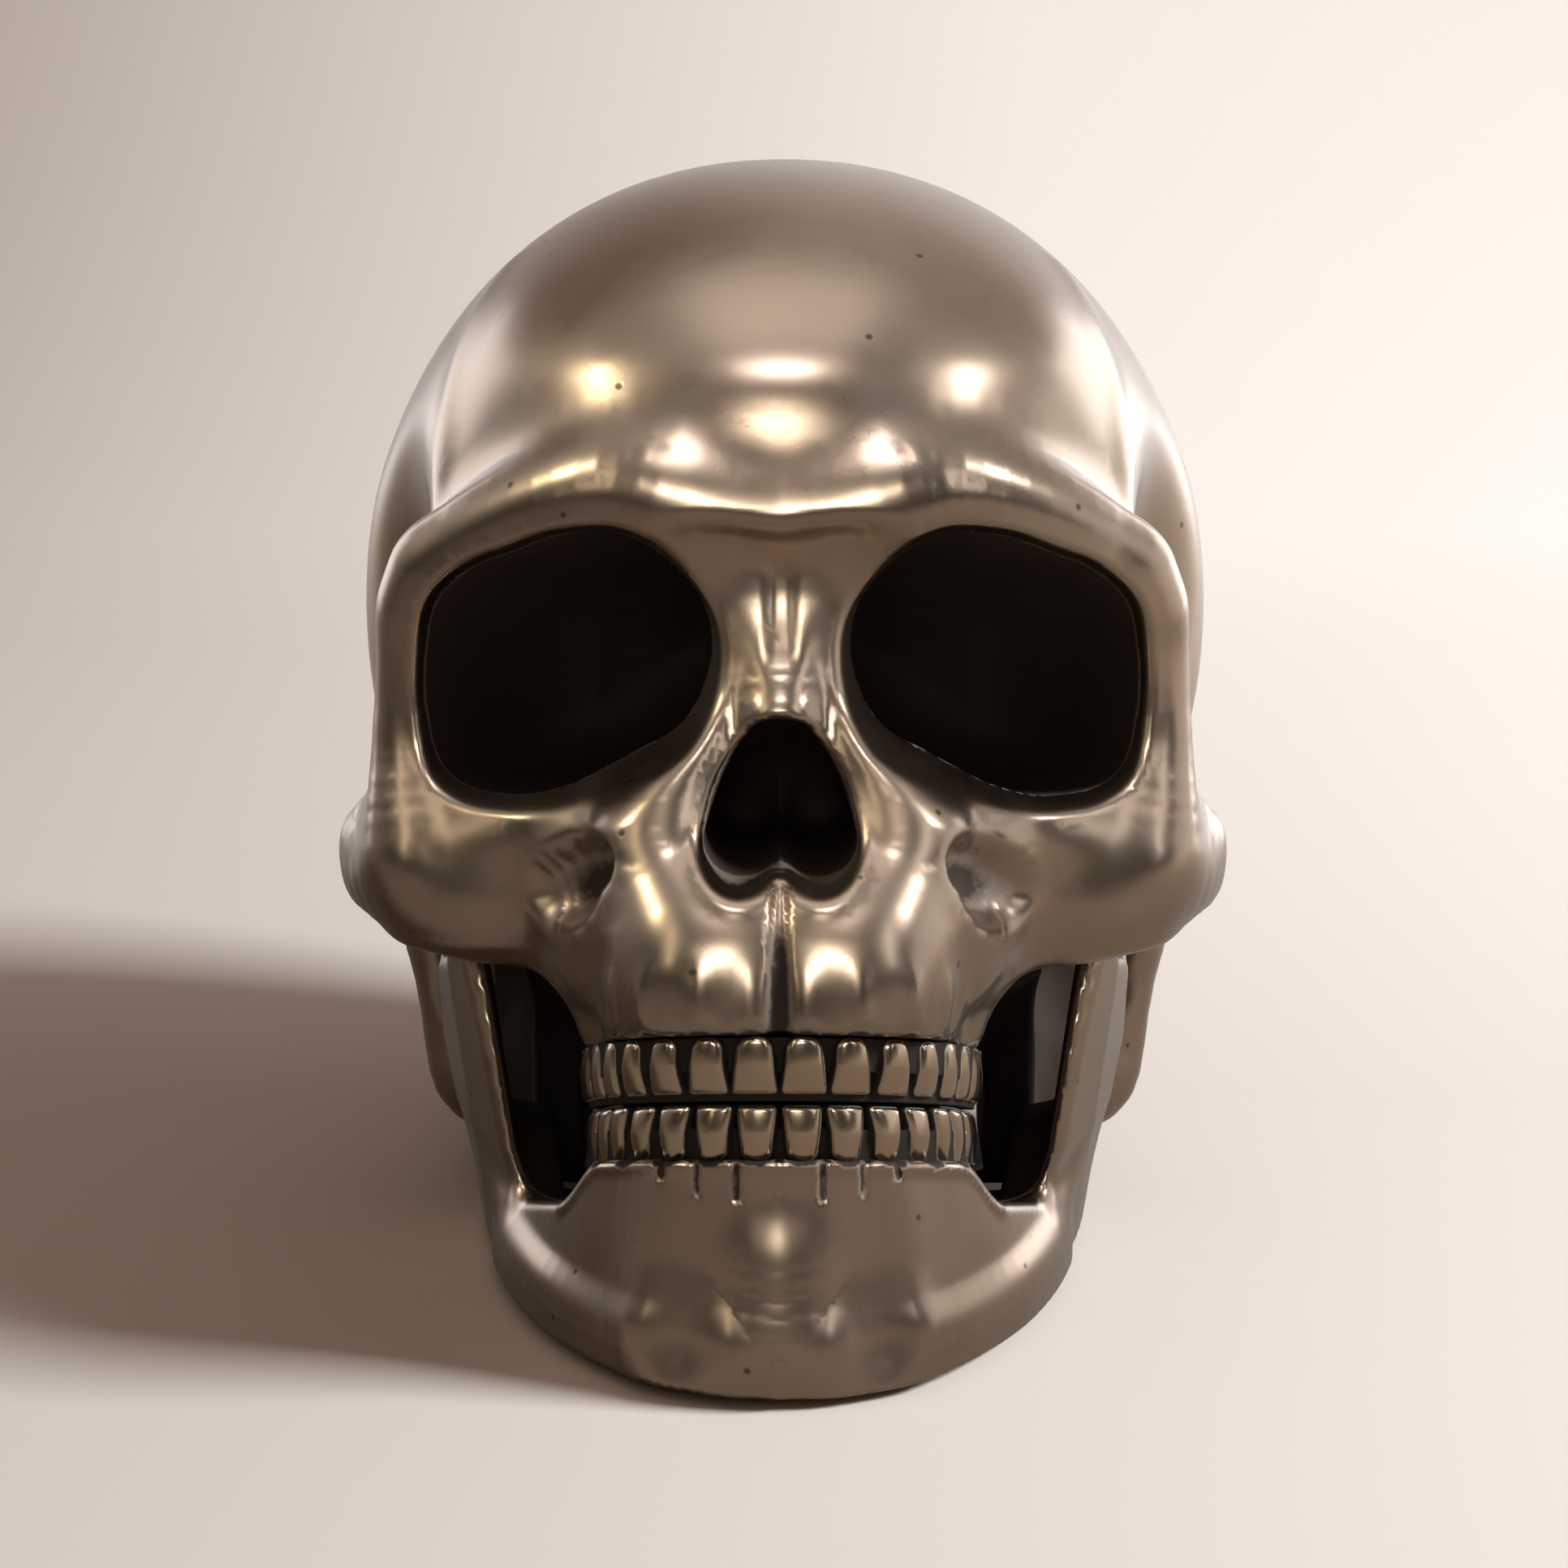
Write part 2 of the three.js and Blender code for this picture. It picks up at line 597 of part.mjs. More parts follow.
// Samples a field on a grid; a block of the grid that is far from the surface takes one value all over
function sample(field, low, [nx, ny, nz], step) {
  const values = new Float64Array(nx * ny * nz);
  const reach = ((blockCount * Math.sqrt(3)) / 2) * step * blockReachShare;
  const at = (i, j, k) => field(low[0] + i * step, low[1] + j * step, low[2] + k * step);
  const half = (blockCount - 1) / 2;
  let [bi, bj, bk] = [0, 0, 0];
  while (bk < nz) {
    const middle = at(bi + half, bj + half, bk + half);
    const near = Math.abs(middle) < reach;
    for (let k = bk; k < Math.min(bk + blockCount, nz); k += 1) {
      for (let j = bj; j < Math.min(bj + blockCount, ny); j += 1) {
        for (let i = bi; i < Math.min(bi + blockCount, nx); i += 1) {
          const border = i % (nx - 1) === 0 || j % (ny - 1) === 0 || k % (nz - 1) === 0;
          const value = near ? at(i, j, k) : middle;
          values[(k * ny + j) * nx + i] = border ? Math.max(value, step) : value;
        }
      }
    }
    bi += blockCount;
    if (bi >= nx) [bi, bj] = [0, bj + blockCount];
    if (bj >= ny) [bj, bk] = [0, bk + blockCount];
  }
  return values;
}

// The surface where a field is zero, found inside a box on a grid, as points and faces
function carve(field, [low, high], step) {
  const counts = low.map((start, axis) => Math.ceil((high[axis] - start) / step) + 1);
  const [nx, ny, nz] = counts;
  const values = sample(field, low, counts, step);
  const node = (i, j, k) => (k * ny + j) * nx + i;
  const spot = (index) => new THREE.Vector3(
    low[0] + (index % nx) * step,
    low[1] + (Math.floor(index / nx) % ny) * step,
    low[2] + Math.floor(index / (nx * ny)) * step,
  );
  const points = [];
  const faces = [];
  const known = new Map();
  const crossing = (inner, outer) => {
    const key = inner * values.length + outer;
    if (!known.has(key)) {
      const share = values[inner] / (values[inner] - values[outer]);
      points.push(spot(inner).lerp(spot(outer), Math.min(Math.max(share, snapShare), 1 - snapShare)));
      known.set(key, points.length - 1);
    }
    return known.get(key);
  };
  const addFace = (corners, inner, outer) => {
    const [a, b, c] = corners.map((corner) => points[corner]);
    const normal = b.clone().sub(a).cross(c.clone().sub(a));
    const outward = spot(outer).sub(spot(inner));
    faces.push(normal.dot(outward) > 0 ? corners : [corners[0], corners[2], corners[1]]);
  };
  const addTetrahedron = (nodes) => {
    const inner = nodes.filter((index) => values[index] < 0);
    const outer = nodes.filter((index) => values[index] >= 0);
    if (inner.length === 1) addFace(outer.map((index) => crossing(inner[0], index)), inner[0], outer[0]);
    if (inner.length === 3) addFace(inner.map((index) => crossing(index, outer[0])), inner[0], outer[0]);
    if (inner.length === 2) {
      const [a, b, c, d] = [[0, 0], [0, 1], [1, 1], [1, 0]].map(([i, j]) => crossing(inner[i], outer[j]));
      addFace([a, b, c], inner[0], outer[1]);
      addFace([a, c, d], inner[1], outer[0]);
    }
  };
  for (let k = 1; k < nz; k += 1) {
    for (let j = 1; j < ny; j += 1) {
      for (let i = 1; i < nx; i += 1) {
        const corners = [0, 1, 2, 3, 4, 5, 6, 7].map((bits) => (
          node(i - 1 + (bits & 1), j - 1 + ((bits >> 1) & 1), k - 1 + (bits >> 2))));
        const first = values[corners[0]] < 0;
        if (corners.some((corner) => values[corner] < 0 !== first)) {
          tetrahedra.forEach((tetrahedron) => addTetrahedron(tetrahedron.map((corner) => corners[corner])));
        }
      }
    }
  }
  return { points, faces };
}

// A heap that gives back its cheapest entry first
class CheapestFirst {
  entries = [];

  push(entry) {
    const { entries } = this;
    let at = entries.push(entry) - 1;
    while (at > 0) {
      const parent = (at - 1) >> 1;
      if (entries[parent].cost <= entry.cost) break;
      entries[at] = entries[parent];
      at = parent;
    }
    entries[at] = entry;
  }

  pop() {
    const { entries } = this;
    const cheapest = entries[0];
    const last = entries.pop();
    if (entries.length === 0) return cheapest;
    let at = 0;
    for (;;) {
      let child = 2 * at + 1;
      if (child >= entries.length) break;
      if (child + 1 < entries.length && entries[child + 1].cost < entries[child].cost) child += 1;
      if (entries[child].cost >= last.cost) break;
      entries[at] = entries[child];
      at = child;
    }
    entries[at] = last;
    return cheapest;
  }
}

const faceNormal = (a, b, c) => b.clone().sub(a).cross(c.clone().sub(a));

// Ten sums for each point, over the planes of the faces round it, give its squared distance to them
function planeSums(points, faces) {
  const sums = new Float64Array(points.length * 10);
  faces.forEach((face) => {
    const normal = faceNormal(...face.map((corner) => points[corner])).normalize();
    const plane = [normal.x, normal.y, normal.z, -normal.dot(points[face[0]])];
    const products = plane.flatMap((value, i) => plane.slice(i).map((other) => value * other));
    face.forEach((corner) => products.forEach((product, slot) => {
      sums[corner * 10 + slot] += product;
    }));
  });
  return sums;
}

// Where two points merge best, and what the merged point costs
function bestMerge(sums, points, a, b) {
  const sum = (slot) => sums[a * 10 + slot] + sums[b * 10 + slot];
  const xx = sum(0);
  const xy = sum(1);
  const xz = sum(2);
  const xw = sum(3);
  const yy = sum(4);
  const yz = sum(5);
  const yw = sum(6);
  const zz = sum(7);
  const zw = sum(8);
  const ww = sum(9);
  const costAt = (x, y, z) => xx * x * x + yy * y * y + zz * z * z + ww
    + 2 * (xy * x * y + xz * x * z + xw * x + yz * y * z + yw * y + zw * z);
  const { x: ax, y: ay, z: az } = points[a];
  const { x: bx, y: by, z: bz } = points[b];
  const square = (ax - bx) ** 2 + (ay - by) ** 2 + (az - bz) ** 2;
  const choices = [[(ax + bx) / 2, (ay + by) / 2, (az + bz) / 2], [ax, ay, az], [bx, by, bz]];
  const cofactorX = yy * zz - yz * yz;
  const cofactorY = yz * xz - xy * zz;
  const cofactorZ = xy * yz - yy * xz;
  const volume = xx * cofactorX + xy * cofactorY + xz * cofactorZ;
  if (Math.abs(volume) > flatShare * (xx + yy + zz) ** 3) {
    const x = -(xw * cofactorX + yw * cofactorY + zw * cofactorZ) / volume;
    const y = -(xw * cofactorY + yw * (xx * zz - xz * xz) + zw * (xy * xz - xx * yz)) / volume;
    const z = -(xw * cofactorZ + yw * (xy * xz - xx * yz) + zw * (xx * yy - xy * xy)) / volume;
    const [[middleX, middleY, middleZ]] = choices;
    const away = (x - middleX) ** 2 + (y - middleY) ** 2 + (z - middleZ) ** 2;
    if (away < square) choices.push([x, y, z]);
  }
  let least = Infinity;
  let target = choices[0];
  choices.forEach((choice) => {
    const cost = costAt(...choice);
    if (cost < least) [least, target] = [cost, choice];
  });
  return { a, b, target, cost: least + edgeCostShare * square };
}


// Slides the points along the surface towards the middle of their neighbours, which fills out needles
function relax({ points, faces }) {
  for (let round = 0; round < relaxRounds; round += 1) {
    const normals = points.map(() => new THREE.Vector3());
    const middles = points.map(() => new THREE.Vector3());
    const counts = new Uint16Array(points.length);
    faces.forEach((face) => {
      const corners = face.map((corner) => points[corner]);
      const normal = faceNormal(...corners);
      face.forEach((corner, i) => {
        normals[corner].add(normal);
        middles[corner].add(corners[(i + 1) % 3]);
        counts[corner] += 1;
      });
    });
    points.forEach((point, index) => {
      const move = middles[index].divideScalar(counts[index]).sub(point);
      const normal = normals[index].normalize();
      move.addScaledVector(normal, -move.dot(normal));
      point.addScaledVector(move, relaxShare);
    });
  }
  return { points, faces };
}

// How full a triangle is for its longest side, near zero for a needle
function fullness(normal, [a, b, c]) {
  const longest = Math.max(a.distanceToSquared(b), b.distanceToSquared(c), c.distanceToSquared(a));
  return normal.length() / longest;
}

// Whether the faces round a point stay upright and full when it moves to merge with another
function canMove(point, other, target, { points, faces, around, normals }) {
  return around[point].every((index) => {
    const face = faces[index];
    if (face.includes(other)) return true;
    const corners = face.map((corner) => points[corner]);
    const moved = face.map((corner) => (corner === point ? target : points[corner]));
    const before = faceNormal(...corners);
    const after = faceNormal(...moved);
    const folds = face.some((corner) => after.dot(normals[corner]) < 0);
    const bent = before.dot(after) < bendShare * before.length() * after.length();
    return !folds && !bent && fullness(after, moved) > Math.min(thinShare, fullness(before, corners));
  });
}

// The faces round each point, and their normals added up by area
function surroundings({ points, faces }) {
  const around = points.map(() => []);
  const normals = points.map(() => new THREE.Vector3());
  faces.forEach((face, index) => {
    const normal = faceNormal(...face.map((corner) => points[corner]));
    face.forEach((corner) => {
      normals[corner].add(normal);
      around[corner].push(index);
    });
  });
  return { points, faces, around, normals };
}

// Merges the ends of edges, the least noticed first, until only some of the faces are left
function simplify(surface, wanted) {
  const { points, faces, around, normals } = surroundings(surface);
  const sums = planeSums(points, faces);
  const version = new Uint32Array(points.length);
  const heap = new CheapestFirst();
  const offer = (a, b) => heap.push({ ...bestMerge(sums, points, a, b), stamp: version[a] + version[b] });
  const neighbours = (point) => {
    const found = [];
    around[point].forEach((index) => faces[index].forEach((corner) => {
      if (corner !== point && !found.includes(corner)) found.push(corner);
    }));
    return found;
  };
  const merge = (a, b, target) => {
    points[a].copy(target);
    normals[a].add(normals[b]);
    for (let slot = 0; slot < 10; slot += 1) sums[a * 10 + slot] += sums[b * 10 + slot];
    const gone = around[b].filter((index) => faces[index].includes(a));
    gone.forEach((index) => faces[index].forEach((corner) => {
      if (corner !== b) around[corner] = around[corner].filter((other) => other !== index);
    }));
    const kept = around[b].filter((index) => !gone.includes(index));
    kept.forEach((index) => {
      faces[index][faces[index].indexOf(b)] = a;
      around[a].push(index);
    });
    gone.forEach((index) => {
      faces[index] = null;
    });
    around[b] = [];
    version[a] += 1 + version[b];
    return gone.length;
  };
  points.forEach((_, point) => neighbours(point).forEach((other) => {
    if (other > point) offer(point, other);
  }));
  let left = faces.length;
  while (left > wanted && heap.entries.length > 0) {
    const { a, b, target, stamp } = heap.pop();
    const live = around[a].length > 0 && around[b].length > 0 && version[a] + version[b] === stamp;
    const ringB = live ? neighbours(b) : [];
    const shared = live ? neighbours(a).filter((point) => ringB.includes(point)) : [];
    const spot = new THREE.Vector3(...target);
    const state = { points, faces, around, normals };
    if (shared.length === 2 && canMove(a, b, spot, state) && canMove(b, a, spot, state)) {
      left -= merge(a, b, spot);
      neighbours(a).forEach((point) => offer(a, point));
    }
  }
  return { points, faces: faces.filter(Boolean) };
}

const wasm = await Module();
wasm.setup();

function solidFromFaces({ points, faces }) {
  const used = [...new Set(faces.flat())];
  const slot = new Map(used.map((point, index) => [point, index]));
  const vertProperties = new Float32Array(used.flatMap((point) => points[point].toArray()));
  const triVerts = new Uint32Array(faces.flat().map((point) => slot.get(point)));
  return new wasm.Manifold(new wasm.Mesh({ numProp: 3, vertProperties, triVerts }));
}

function solidFromGeometry(geometry) {
  geometry.deleteAttribute('normal');
  geometry.deleteAttribute('uv');
  const merged = mergeVertices(geometry);
  const vertProperties = merged.getAttribute('position').array;
  const triVerts = new Uint32Array(merged.index.array);
  return new wasm.Manifold(new wasm.Mesh({ numProp: 3, vertProperties, triVerts }));
}

// A rod of some radius between two heights on an upright axis, or between two places across the head
function uprightRod(radius, x, y, low, high) {
  const geometry = new THREE.CylinderGeometry(radius, radius, high - low, roundSides);
  geometry.rotateX(Math.PI / 2).translate(x, y, (low + high) / 2);
  return solidFromGeometry(geometry);
}

function crossRod(radius, start, end, y, z) {
  const length = Math.abs(end - start);
  const geometry = new THREE.CylinderGeometry(radius, radius, length, roundSides);
  geometry.rotateZ(Math.PI / 2).translate((start + end) / 2, y, z);
  return solidFromGeometry(geometry);
}

// Everything below some height, as a solid to cut away
function below(height) {
  const size = 2 * skullLength;
  return solidFromGeometry(new THREE.BoxGeometry(size, size, size).translate(0, 0, height - size / 2));
}

// The space of the teeth between two levels of the tilted bite
function biteSpace(low, high) {
  const angle = Math.atan(biteFall);
  const middleY = biteSpaceShares.middle * halfLength;
  const middleZ = (low + high) / 2 - biteFall * (middleY + teethFront);
  const width = biteSpaceShares.width * skullBreadth;
  const depth = biteSpaceShares.depth * halfLength;
  const box = new THREE.BoxGeometry(width, depth, (high - low) * Math.cos(angle));
  return solidFromGeometry(box.rotateX(-angle).translate(0, middleY, middleZ));
}

function meshFrom(name, solid, material) {
  const { vertProperties, triVerts } = solid.getMesh();
  const geometry = new THREE.BufferGeometry();
  geometry.setAttribute('position', new THREE.BufferAttribute(vertProperties, 3));
  geometry.setIndex(new THREE.BufferAttribute(triVerts, 1));
  geometry.computeVertexNormals();
  const mesh = new THREE.Mesh(geometry, material.clone());
  mesh.name = name;
  return mesh;
}

const bronze = new THREE.MeshStandardMaterial({ color: 0x77604c, metalness: 1, roughness: 0.3 });
const darkBronze = new THREE.MeshStandardMaterial({ color: 0x6a5442, metalness: 1, roughness: 0.35 });
const steel = new THREE.MeshStandardMaterial({ color: 0x9a9a98, metalness: 1, roughness: 0.35 });
const brass = new THREE.MeshStandardMaterial({ color: 0xb08d4a, metalness: 1, roughness: 0.35 });
const nylon = new THREE.MeshStandardMaterial({ color: 0xe4dfd3, metalness: 0, roughness: 0.6 });
const felt = new THREE.MeshStandardMaterial({ color: 0x1d1a18, metalness: 0, roughness: 0.95 });

// Where the hinge's pieces lie across the head, from the middle outwards
const [condyleX, hingeY, hingeZ] = place(condyleShare);
const condyleEnd = condyleX + condyleLengthShare * halfBreadth;
const bossFace = condyleX - washerThickness - 2 * seatGap;
const headFace = condyleEnd + seatGap;
const threadEnd = bossFace - threadLength;
const coverTop = padThickness + seatGap + coverThickness;
const [coverX, coverY] = place(coverShare);
const underside = coverTop + seatGap;
const jawUnderside = padThickness + seatGap;

function coverScrewPlaces() {
  return Array.from({ length: coverScrewCount }, (_, index) => {
    const angle = (index / coverScrewCount) * 2 * Math.PI - Math.PI / 2;
    return [coverX + coverScrewCircle * Math.cos(angle), coverY + coverScrewCircle * Math.sin(angle)];
  });
}

// Cuts a rod out of both sides of a casting on the axis of the hinge
function cutHinge(solid, radius, near, far) {
  const right = solid.subtract(crossRod(radius, near, far, hingeY, hingeZ));
  return right.subtract(crossRod(radius, -near, -far, hingeY, hingeZ));
}

function makeCranium() {
  const margin = 2 * skullStep;
  const box = [
    [-halfBreadth - margin, -halfLength - margin, -margin],
    [halfBreadth + margin, halfLength + margin, skullHeight + margin],
  ];
  let solid = solidFromFaces(simplify(relax(carve(craniumField, box, skullStep)), craniumFaces));
  solid = solid.subtract(below(underside));
  solid = solid.subtract(biteSpace(lowerGumHeight, upperGumHeight));
  const mouthTop = mouthTopShare * skullHeight;
  solid = solid.subtract(uprightRod(mouthRadius, coverX, coverY, -overrun, mouthTop));
  coverScrewPlaces().forEach(([x, y]) => {
    const top = underside + coverScrewLength - coverThickness + seatGap;
    solid = solid.subtract(uprightRod(coverScrewRadius + seatGap, x, y, -overrun, top));
  });
  const space = condyleRadius + jointSpace;
  solid = cutHinge(solid, space, bossFace, condyleEnd + screwHeadThickness + jointSpace);
  solid = cutHinge(solid, insertRadius + seatGap, bossFace - insertLength, bossFace + overrun);
  return solid;
}

function makeJaw() {
  const margin = 2 * jawStep;
  const box = [
    [-halfBreadth, -halfLength - margin, -margin],
    [halfBreadth, jawBoxShares.back * halfLength, jawBoxShares.top * skullHeight],
  ];
  let solid = solidFromFaces(simplify(relax(carve(jawField, box, jawStep)), jawFaces));
  solid = solid.subtract(below(jawUnderside));
  solid = solid.subtract(biteSpace(lowerGumHeight, upperGumHeight));
  const { inner, outer } = condyleClearShares;
  solid = cutHinge(solid, shoulderRadius + seatGap, bossFace - overrun, headFace + overrun);
  solid = cutHinge(solid, condyleRadius * inner, bossFace - 2 * overrun, condyleX);
  solid = cutHinge(solid, condyleRadius * outer, condyleEnd, headFace + overrun);
  return solid;
}

function makeTeeth(shares, low, high, gumSide) {
  const field = teethField(shares, low, high, gumSide);
  const { half, back, low: boxLow, high: boxHigh } = teethBoxShares;
  const box = [
    [-half * halfBreadth, -halfLength, boxLow * skullHeight],
    [half * halfBreadth, back * halfLength, boxHigh * skullHeight],
  ];
  return solidFromFaces(simplify(relax(carve(field, box, teethStep)), teethFaces));
}

// A turned piece: radius and distance along its axis, laid across the head on the hinge
function turned(profile) {
  const points = profile.map(([radius, along]) => new THREE.Vector2(radius, along));
  return new THREE.LatheGeometry(points, roundSides);
}

function addTurned(group, name, profile, material, lay) {
  const mesh = new THREE.Mesh(turned(profile), material.clone());
  mesh.name = name;
  lay(mesh);
  group.add(mesh);
}

function hingeScrewProfile() {
  const headEnd = headFace + screwHeadThickness;
  const shoulderEnd = bossFace + seatGap;
  return [
    [0, threadEnd],
    [threadRadius, threadEnd],
    [threadRadius, shoulderEnd],
    [shoulderRadius, shoulderEnd],
    [shoulderRadius, headFace],
    [screwHeadRadius, headFace],
    [screwHeadRadius, headEnd],
    [0, headEnd],
  ];
}

const ring = (outer, inner, start, end) => [
  [inner, start],
  [outer, start],
  [outer, end],
  [inner, end],
  [inner, start],
];

const disc = (radius, start, end) => [
  [0, start],
  [radius, start],
  [radius, end],
  [0, end],
];

function addHinge(group, side, word) {
  const lay = (mesh) => {
    mesh.rotation.z = side > 0 ? -Math.PI / 2 : Math.PI / 2;
    mesh.position.set(0, hingeY, hingeZ);
  };
  const insertBore = threadRadius + seatGap;
  addTurned(group, `jaw_screw_${word}`, hingeScrewProfile(), steel, lay);
  const washer = ring(washerRadius, shoulderRadius + seatGap, bossFace + seatGap, condyleX - seatGap);
  addTurned(group, `jaw_washer_${word}`, washer, nylon, lay);
  const insert = ring(insertRadius, insertBore, bossFace - insertLength + seatGap, bossFace);
  addTurned(group, `jaw_insert_${word}`, insert, brass, lay);
}

function addCover(group) {
  let plate = uprightRod(coverRadius, coverX, coverY, coverTop - coverThickness, coverTop);
  coverScrewPlaces().forEach(([x, y]) => {
    plate = plate.subtract(uprightRod(coverScrewRadius + seatGap, x, y, -overrun, coverTop + overrun));
    const seat = coverTop - coverThickness / 2;
    plate = plate.subtract(uprightRod(coverScrewHead + seatGap, x, y, -overrun, seat));
  });
  group.add(meshFrom('base_cover', plate, darkBronze));
  const headBottom = coverTop - coverThickness + seatGap;
  const headTop = coverTop - coverThickness / 2 - seatGap;
  const tip = headBottom + coverScrewLength;
  coverScrewPlaces().forEach(([x, y], index) => {
    const profile = [
      [0, headBottom],
      [coverScrewHead, headBottom],
      [coverScrewHead, headTop],
      [coverScrewRadius, headTop],
      [coverScrewRadius, tip],
      [0, tip],
    ];
    addTurned(group, `cover_screw_${index + 1}`, profile, steel, (mesh) => {
      mesh.rotation.x = Math.PI / 2;
      mesh.position.set(x, y, 0);
    });
  });
  addTurned(group, 'cover_felt', disc(coverPadRadius, 0, padThickness), felt, (mesh) => {
    mesh.rotation.x = Math.PI / 2;
    mesh.position.set(coverX, coverY, 0);
  });
}

function addJawPads(group) {
  jawPadShares.forEach(([x, y], row) => {
    [-1, 1].forEach((side) => {
      const name = `jaw_felt_${row * 2 + (side > 0 ? 2 : 1)}`;
      addTurned(group, name, disc(jawPadRadius, 0, padThickness), felt, (mesh) => {
        mesh.rotation.x = Math.PI / 2;
        mesh.position.set(side * x * halfBreadth, y * halfLength, 0);
      });
    });
  });
}

const group = new THREE.Group();
group.add(meshFrom('cranium', makeCranium(), bronze));
group.add(meshFrom('lower_jaw', makeJaw(), bronze));
const upperLow = biteHeight + biteGap / 2;
const lowerHigh = biteHeight - biteGap / 2;
const upperRow = makeTeeth(upperTeethShares, upperLow, upperGumHeight - seatGap, 1);
const lowerRow = makeTeeth(lowerTeethShares, lowerGumHeight + seatGap, lowerHigh, -1);
group.add(meshFrom('upper_teeth', upperRow, darkBronze));
group.add(meshFrom('lower_teeth', lowerRow, darkBronze));
addHinge(group, 1, 'left');
addHinge(group, -1, 'right');
addCover(group);
addJawPads(group);

export default group;
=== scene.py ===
import math

import bmesh
import bpy
import numpy as np
import openvdb
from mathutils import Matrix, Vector


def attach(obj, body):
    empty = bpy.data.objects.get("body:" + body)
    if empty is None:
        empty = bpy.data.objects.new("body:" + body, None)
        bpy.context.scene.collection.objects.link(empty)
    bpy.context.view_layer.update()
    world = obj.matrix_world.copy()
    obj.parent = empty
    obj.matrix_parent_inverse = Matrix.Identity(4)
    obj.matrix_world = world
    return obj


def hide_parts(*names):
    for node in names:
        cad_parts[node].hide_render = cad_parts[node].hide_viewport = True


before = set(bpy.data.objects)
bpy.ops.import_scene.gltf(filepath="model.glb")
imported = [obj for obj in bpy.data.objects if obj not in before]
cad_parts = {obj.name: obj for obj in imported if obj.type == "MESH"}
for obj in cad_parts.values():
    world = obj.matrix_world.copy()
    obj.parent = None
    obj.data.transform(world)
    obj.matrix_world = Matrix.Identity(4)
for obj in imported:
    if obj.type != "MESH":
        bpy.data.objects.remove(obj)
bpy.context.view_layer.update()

MM = 0.001

# How far round a rod its distance is worked out, how softly the two sides meet, and a distance beyond all
CHAIN_REACH = 16.0
FOLD = 1.0
FAR = 1e3

# Fineness of the sculpting, how much the flatter faces of the head are merged, and the settling onto the skin
HEAD_STEP = 1.0
HEAD_MERGE = 0.003
JAW_STEP = 0.9
TEETH_STEP = 0.4
BLOCK = 6
BLOCK_MARGIN = 1.35
VOLUME_OUTSIDE = 4.0
SKIN_CELLS = 4
SLOPE_REACH = 0.12
SETTLING_PASSES = 2
LONGEST_MOVE = 0.5

# The room that one half of each casting takes, and of all four together, as low and high corners
HEAD_ROOM = ((0, -108, 0), (80, 110, 182))
JAW_ROOM = ((0, -108, -2), (66, 12, 66))
UPPER_TEETH_ROOM = ((0, -102, 26), (36, -46, 60))
LOWER_TEETH_ROOM = ((0, -102, 16), (36, -46, 52))
WHOLE_ROOM = ((0, -110, -4), (84, 112, 184))

# A recess is a place with much solid round it, as a share of what lies within reach; recesses are painted
# dark, partly as the casting's patina and partly as painted shade
HOLLOW_STEP = 2.0
HOLLOW_REACH = 7.0
RECESS_START = 0.51
RECESS_FULL = 0.76
BLUR_PASSES = 3
BLUR_SPREAD = 1.7

# Braincase and face
VAULT = dict(at=(0, 20, 98.6), radii=(72.8, 84, 74), tilt=18, square=2.04)
FOREHEAD = dict(at=(0, -7, 117), radii=(58.5, 60.5, 57.6), square=2.16)
FRONTAL = dict(at=(0, -21, 142), radii=(46, 45, 22))
OCCIPUT = dict(at=(0, 38, 48), radii=(64, 48, 47), square=2.2)
SKULL_BASE = dict(at=(0, -4, 62), radii=(40, 44, 30))
TEMPLE = dict(at=(89, -20, 105), radii=(35.5, 32, 41), tilt=-10)
TEMPLE_LOW = dict(at=(60, -26, 60), radii=(14.5, 22, 34))
MID_FACE = dict(at=(0, -34, 92), radii=(38, 32, 30))
TEMPLE_LINE = [
    (56, -42, 116, 0), (54, -37, 125, 0), (53.5, -33, 134, 0), (52.5, -27, 143, 0), (50, -18, 152, 0),
    (45, -6, 160, 0),
]
TEMPLE_RIDGE = (0.5, 3.5)
BROW = [
    (0, -64.2, 125.6, 6.6), (9, -65, 127, 6.6), (18, -64.8, 130.2, 6.4), (25, -63.4, 131.4, 5.8),
    (34, -60.2, 129.2, 5.2), (44, -55.2, 124.4, 4.8), (52, -50, 118.4, 4.6), (57, -46.4, 111, 4.2),
]
UNDER_BROW = [(0, -80.5, 116, 13.5), (9, -81.5, 118, 13.5), (15, -80, 120, 10.5)]
BRIDGE = [(0, -57, 121, 6.5), (0, -62.5, 112, 5.2), (0, -66.8, 105, 5), (0, -69.8, 99.2, 5.8)]
NOSE_SIDE = [
    (8, -58, 114, 3.4), (11, -63, 105, 4.6), (14, -68, 96, 5.6), (16.5, -72.5, 87, 6.6),
    (17, -76.5, 78, 7.4), (15, -80.5, 70, 8.2),
]
NOSE_SPINE = [(0, -84, 75, 2.4), (0, -86, 68, 5)]

# Grooves down the middle of the face: the seam over the front teeth, and the one between the brows
GROOVES_BACK = -55
SEAM = dict(depth=0.8, low=57, high=76, end=1.5)
SEAM_WIDTH = 0.5
SEAM_SHADE_WIDTH = 0.45
SEAM_WIDENING = 0.035
SEAM_WIDENS_OVER = 20
FROWN = dict(depth=0.7, low=109, high=119, end=3, width=1.3)

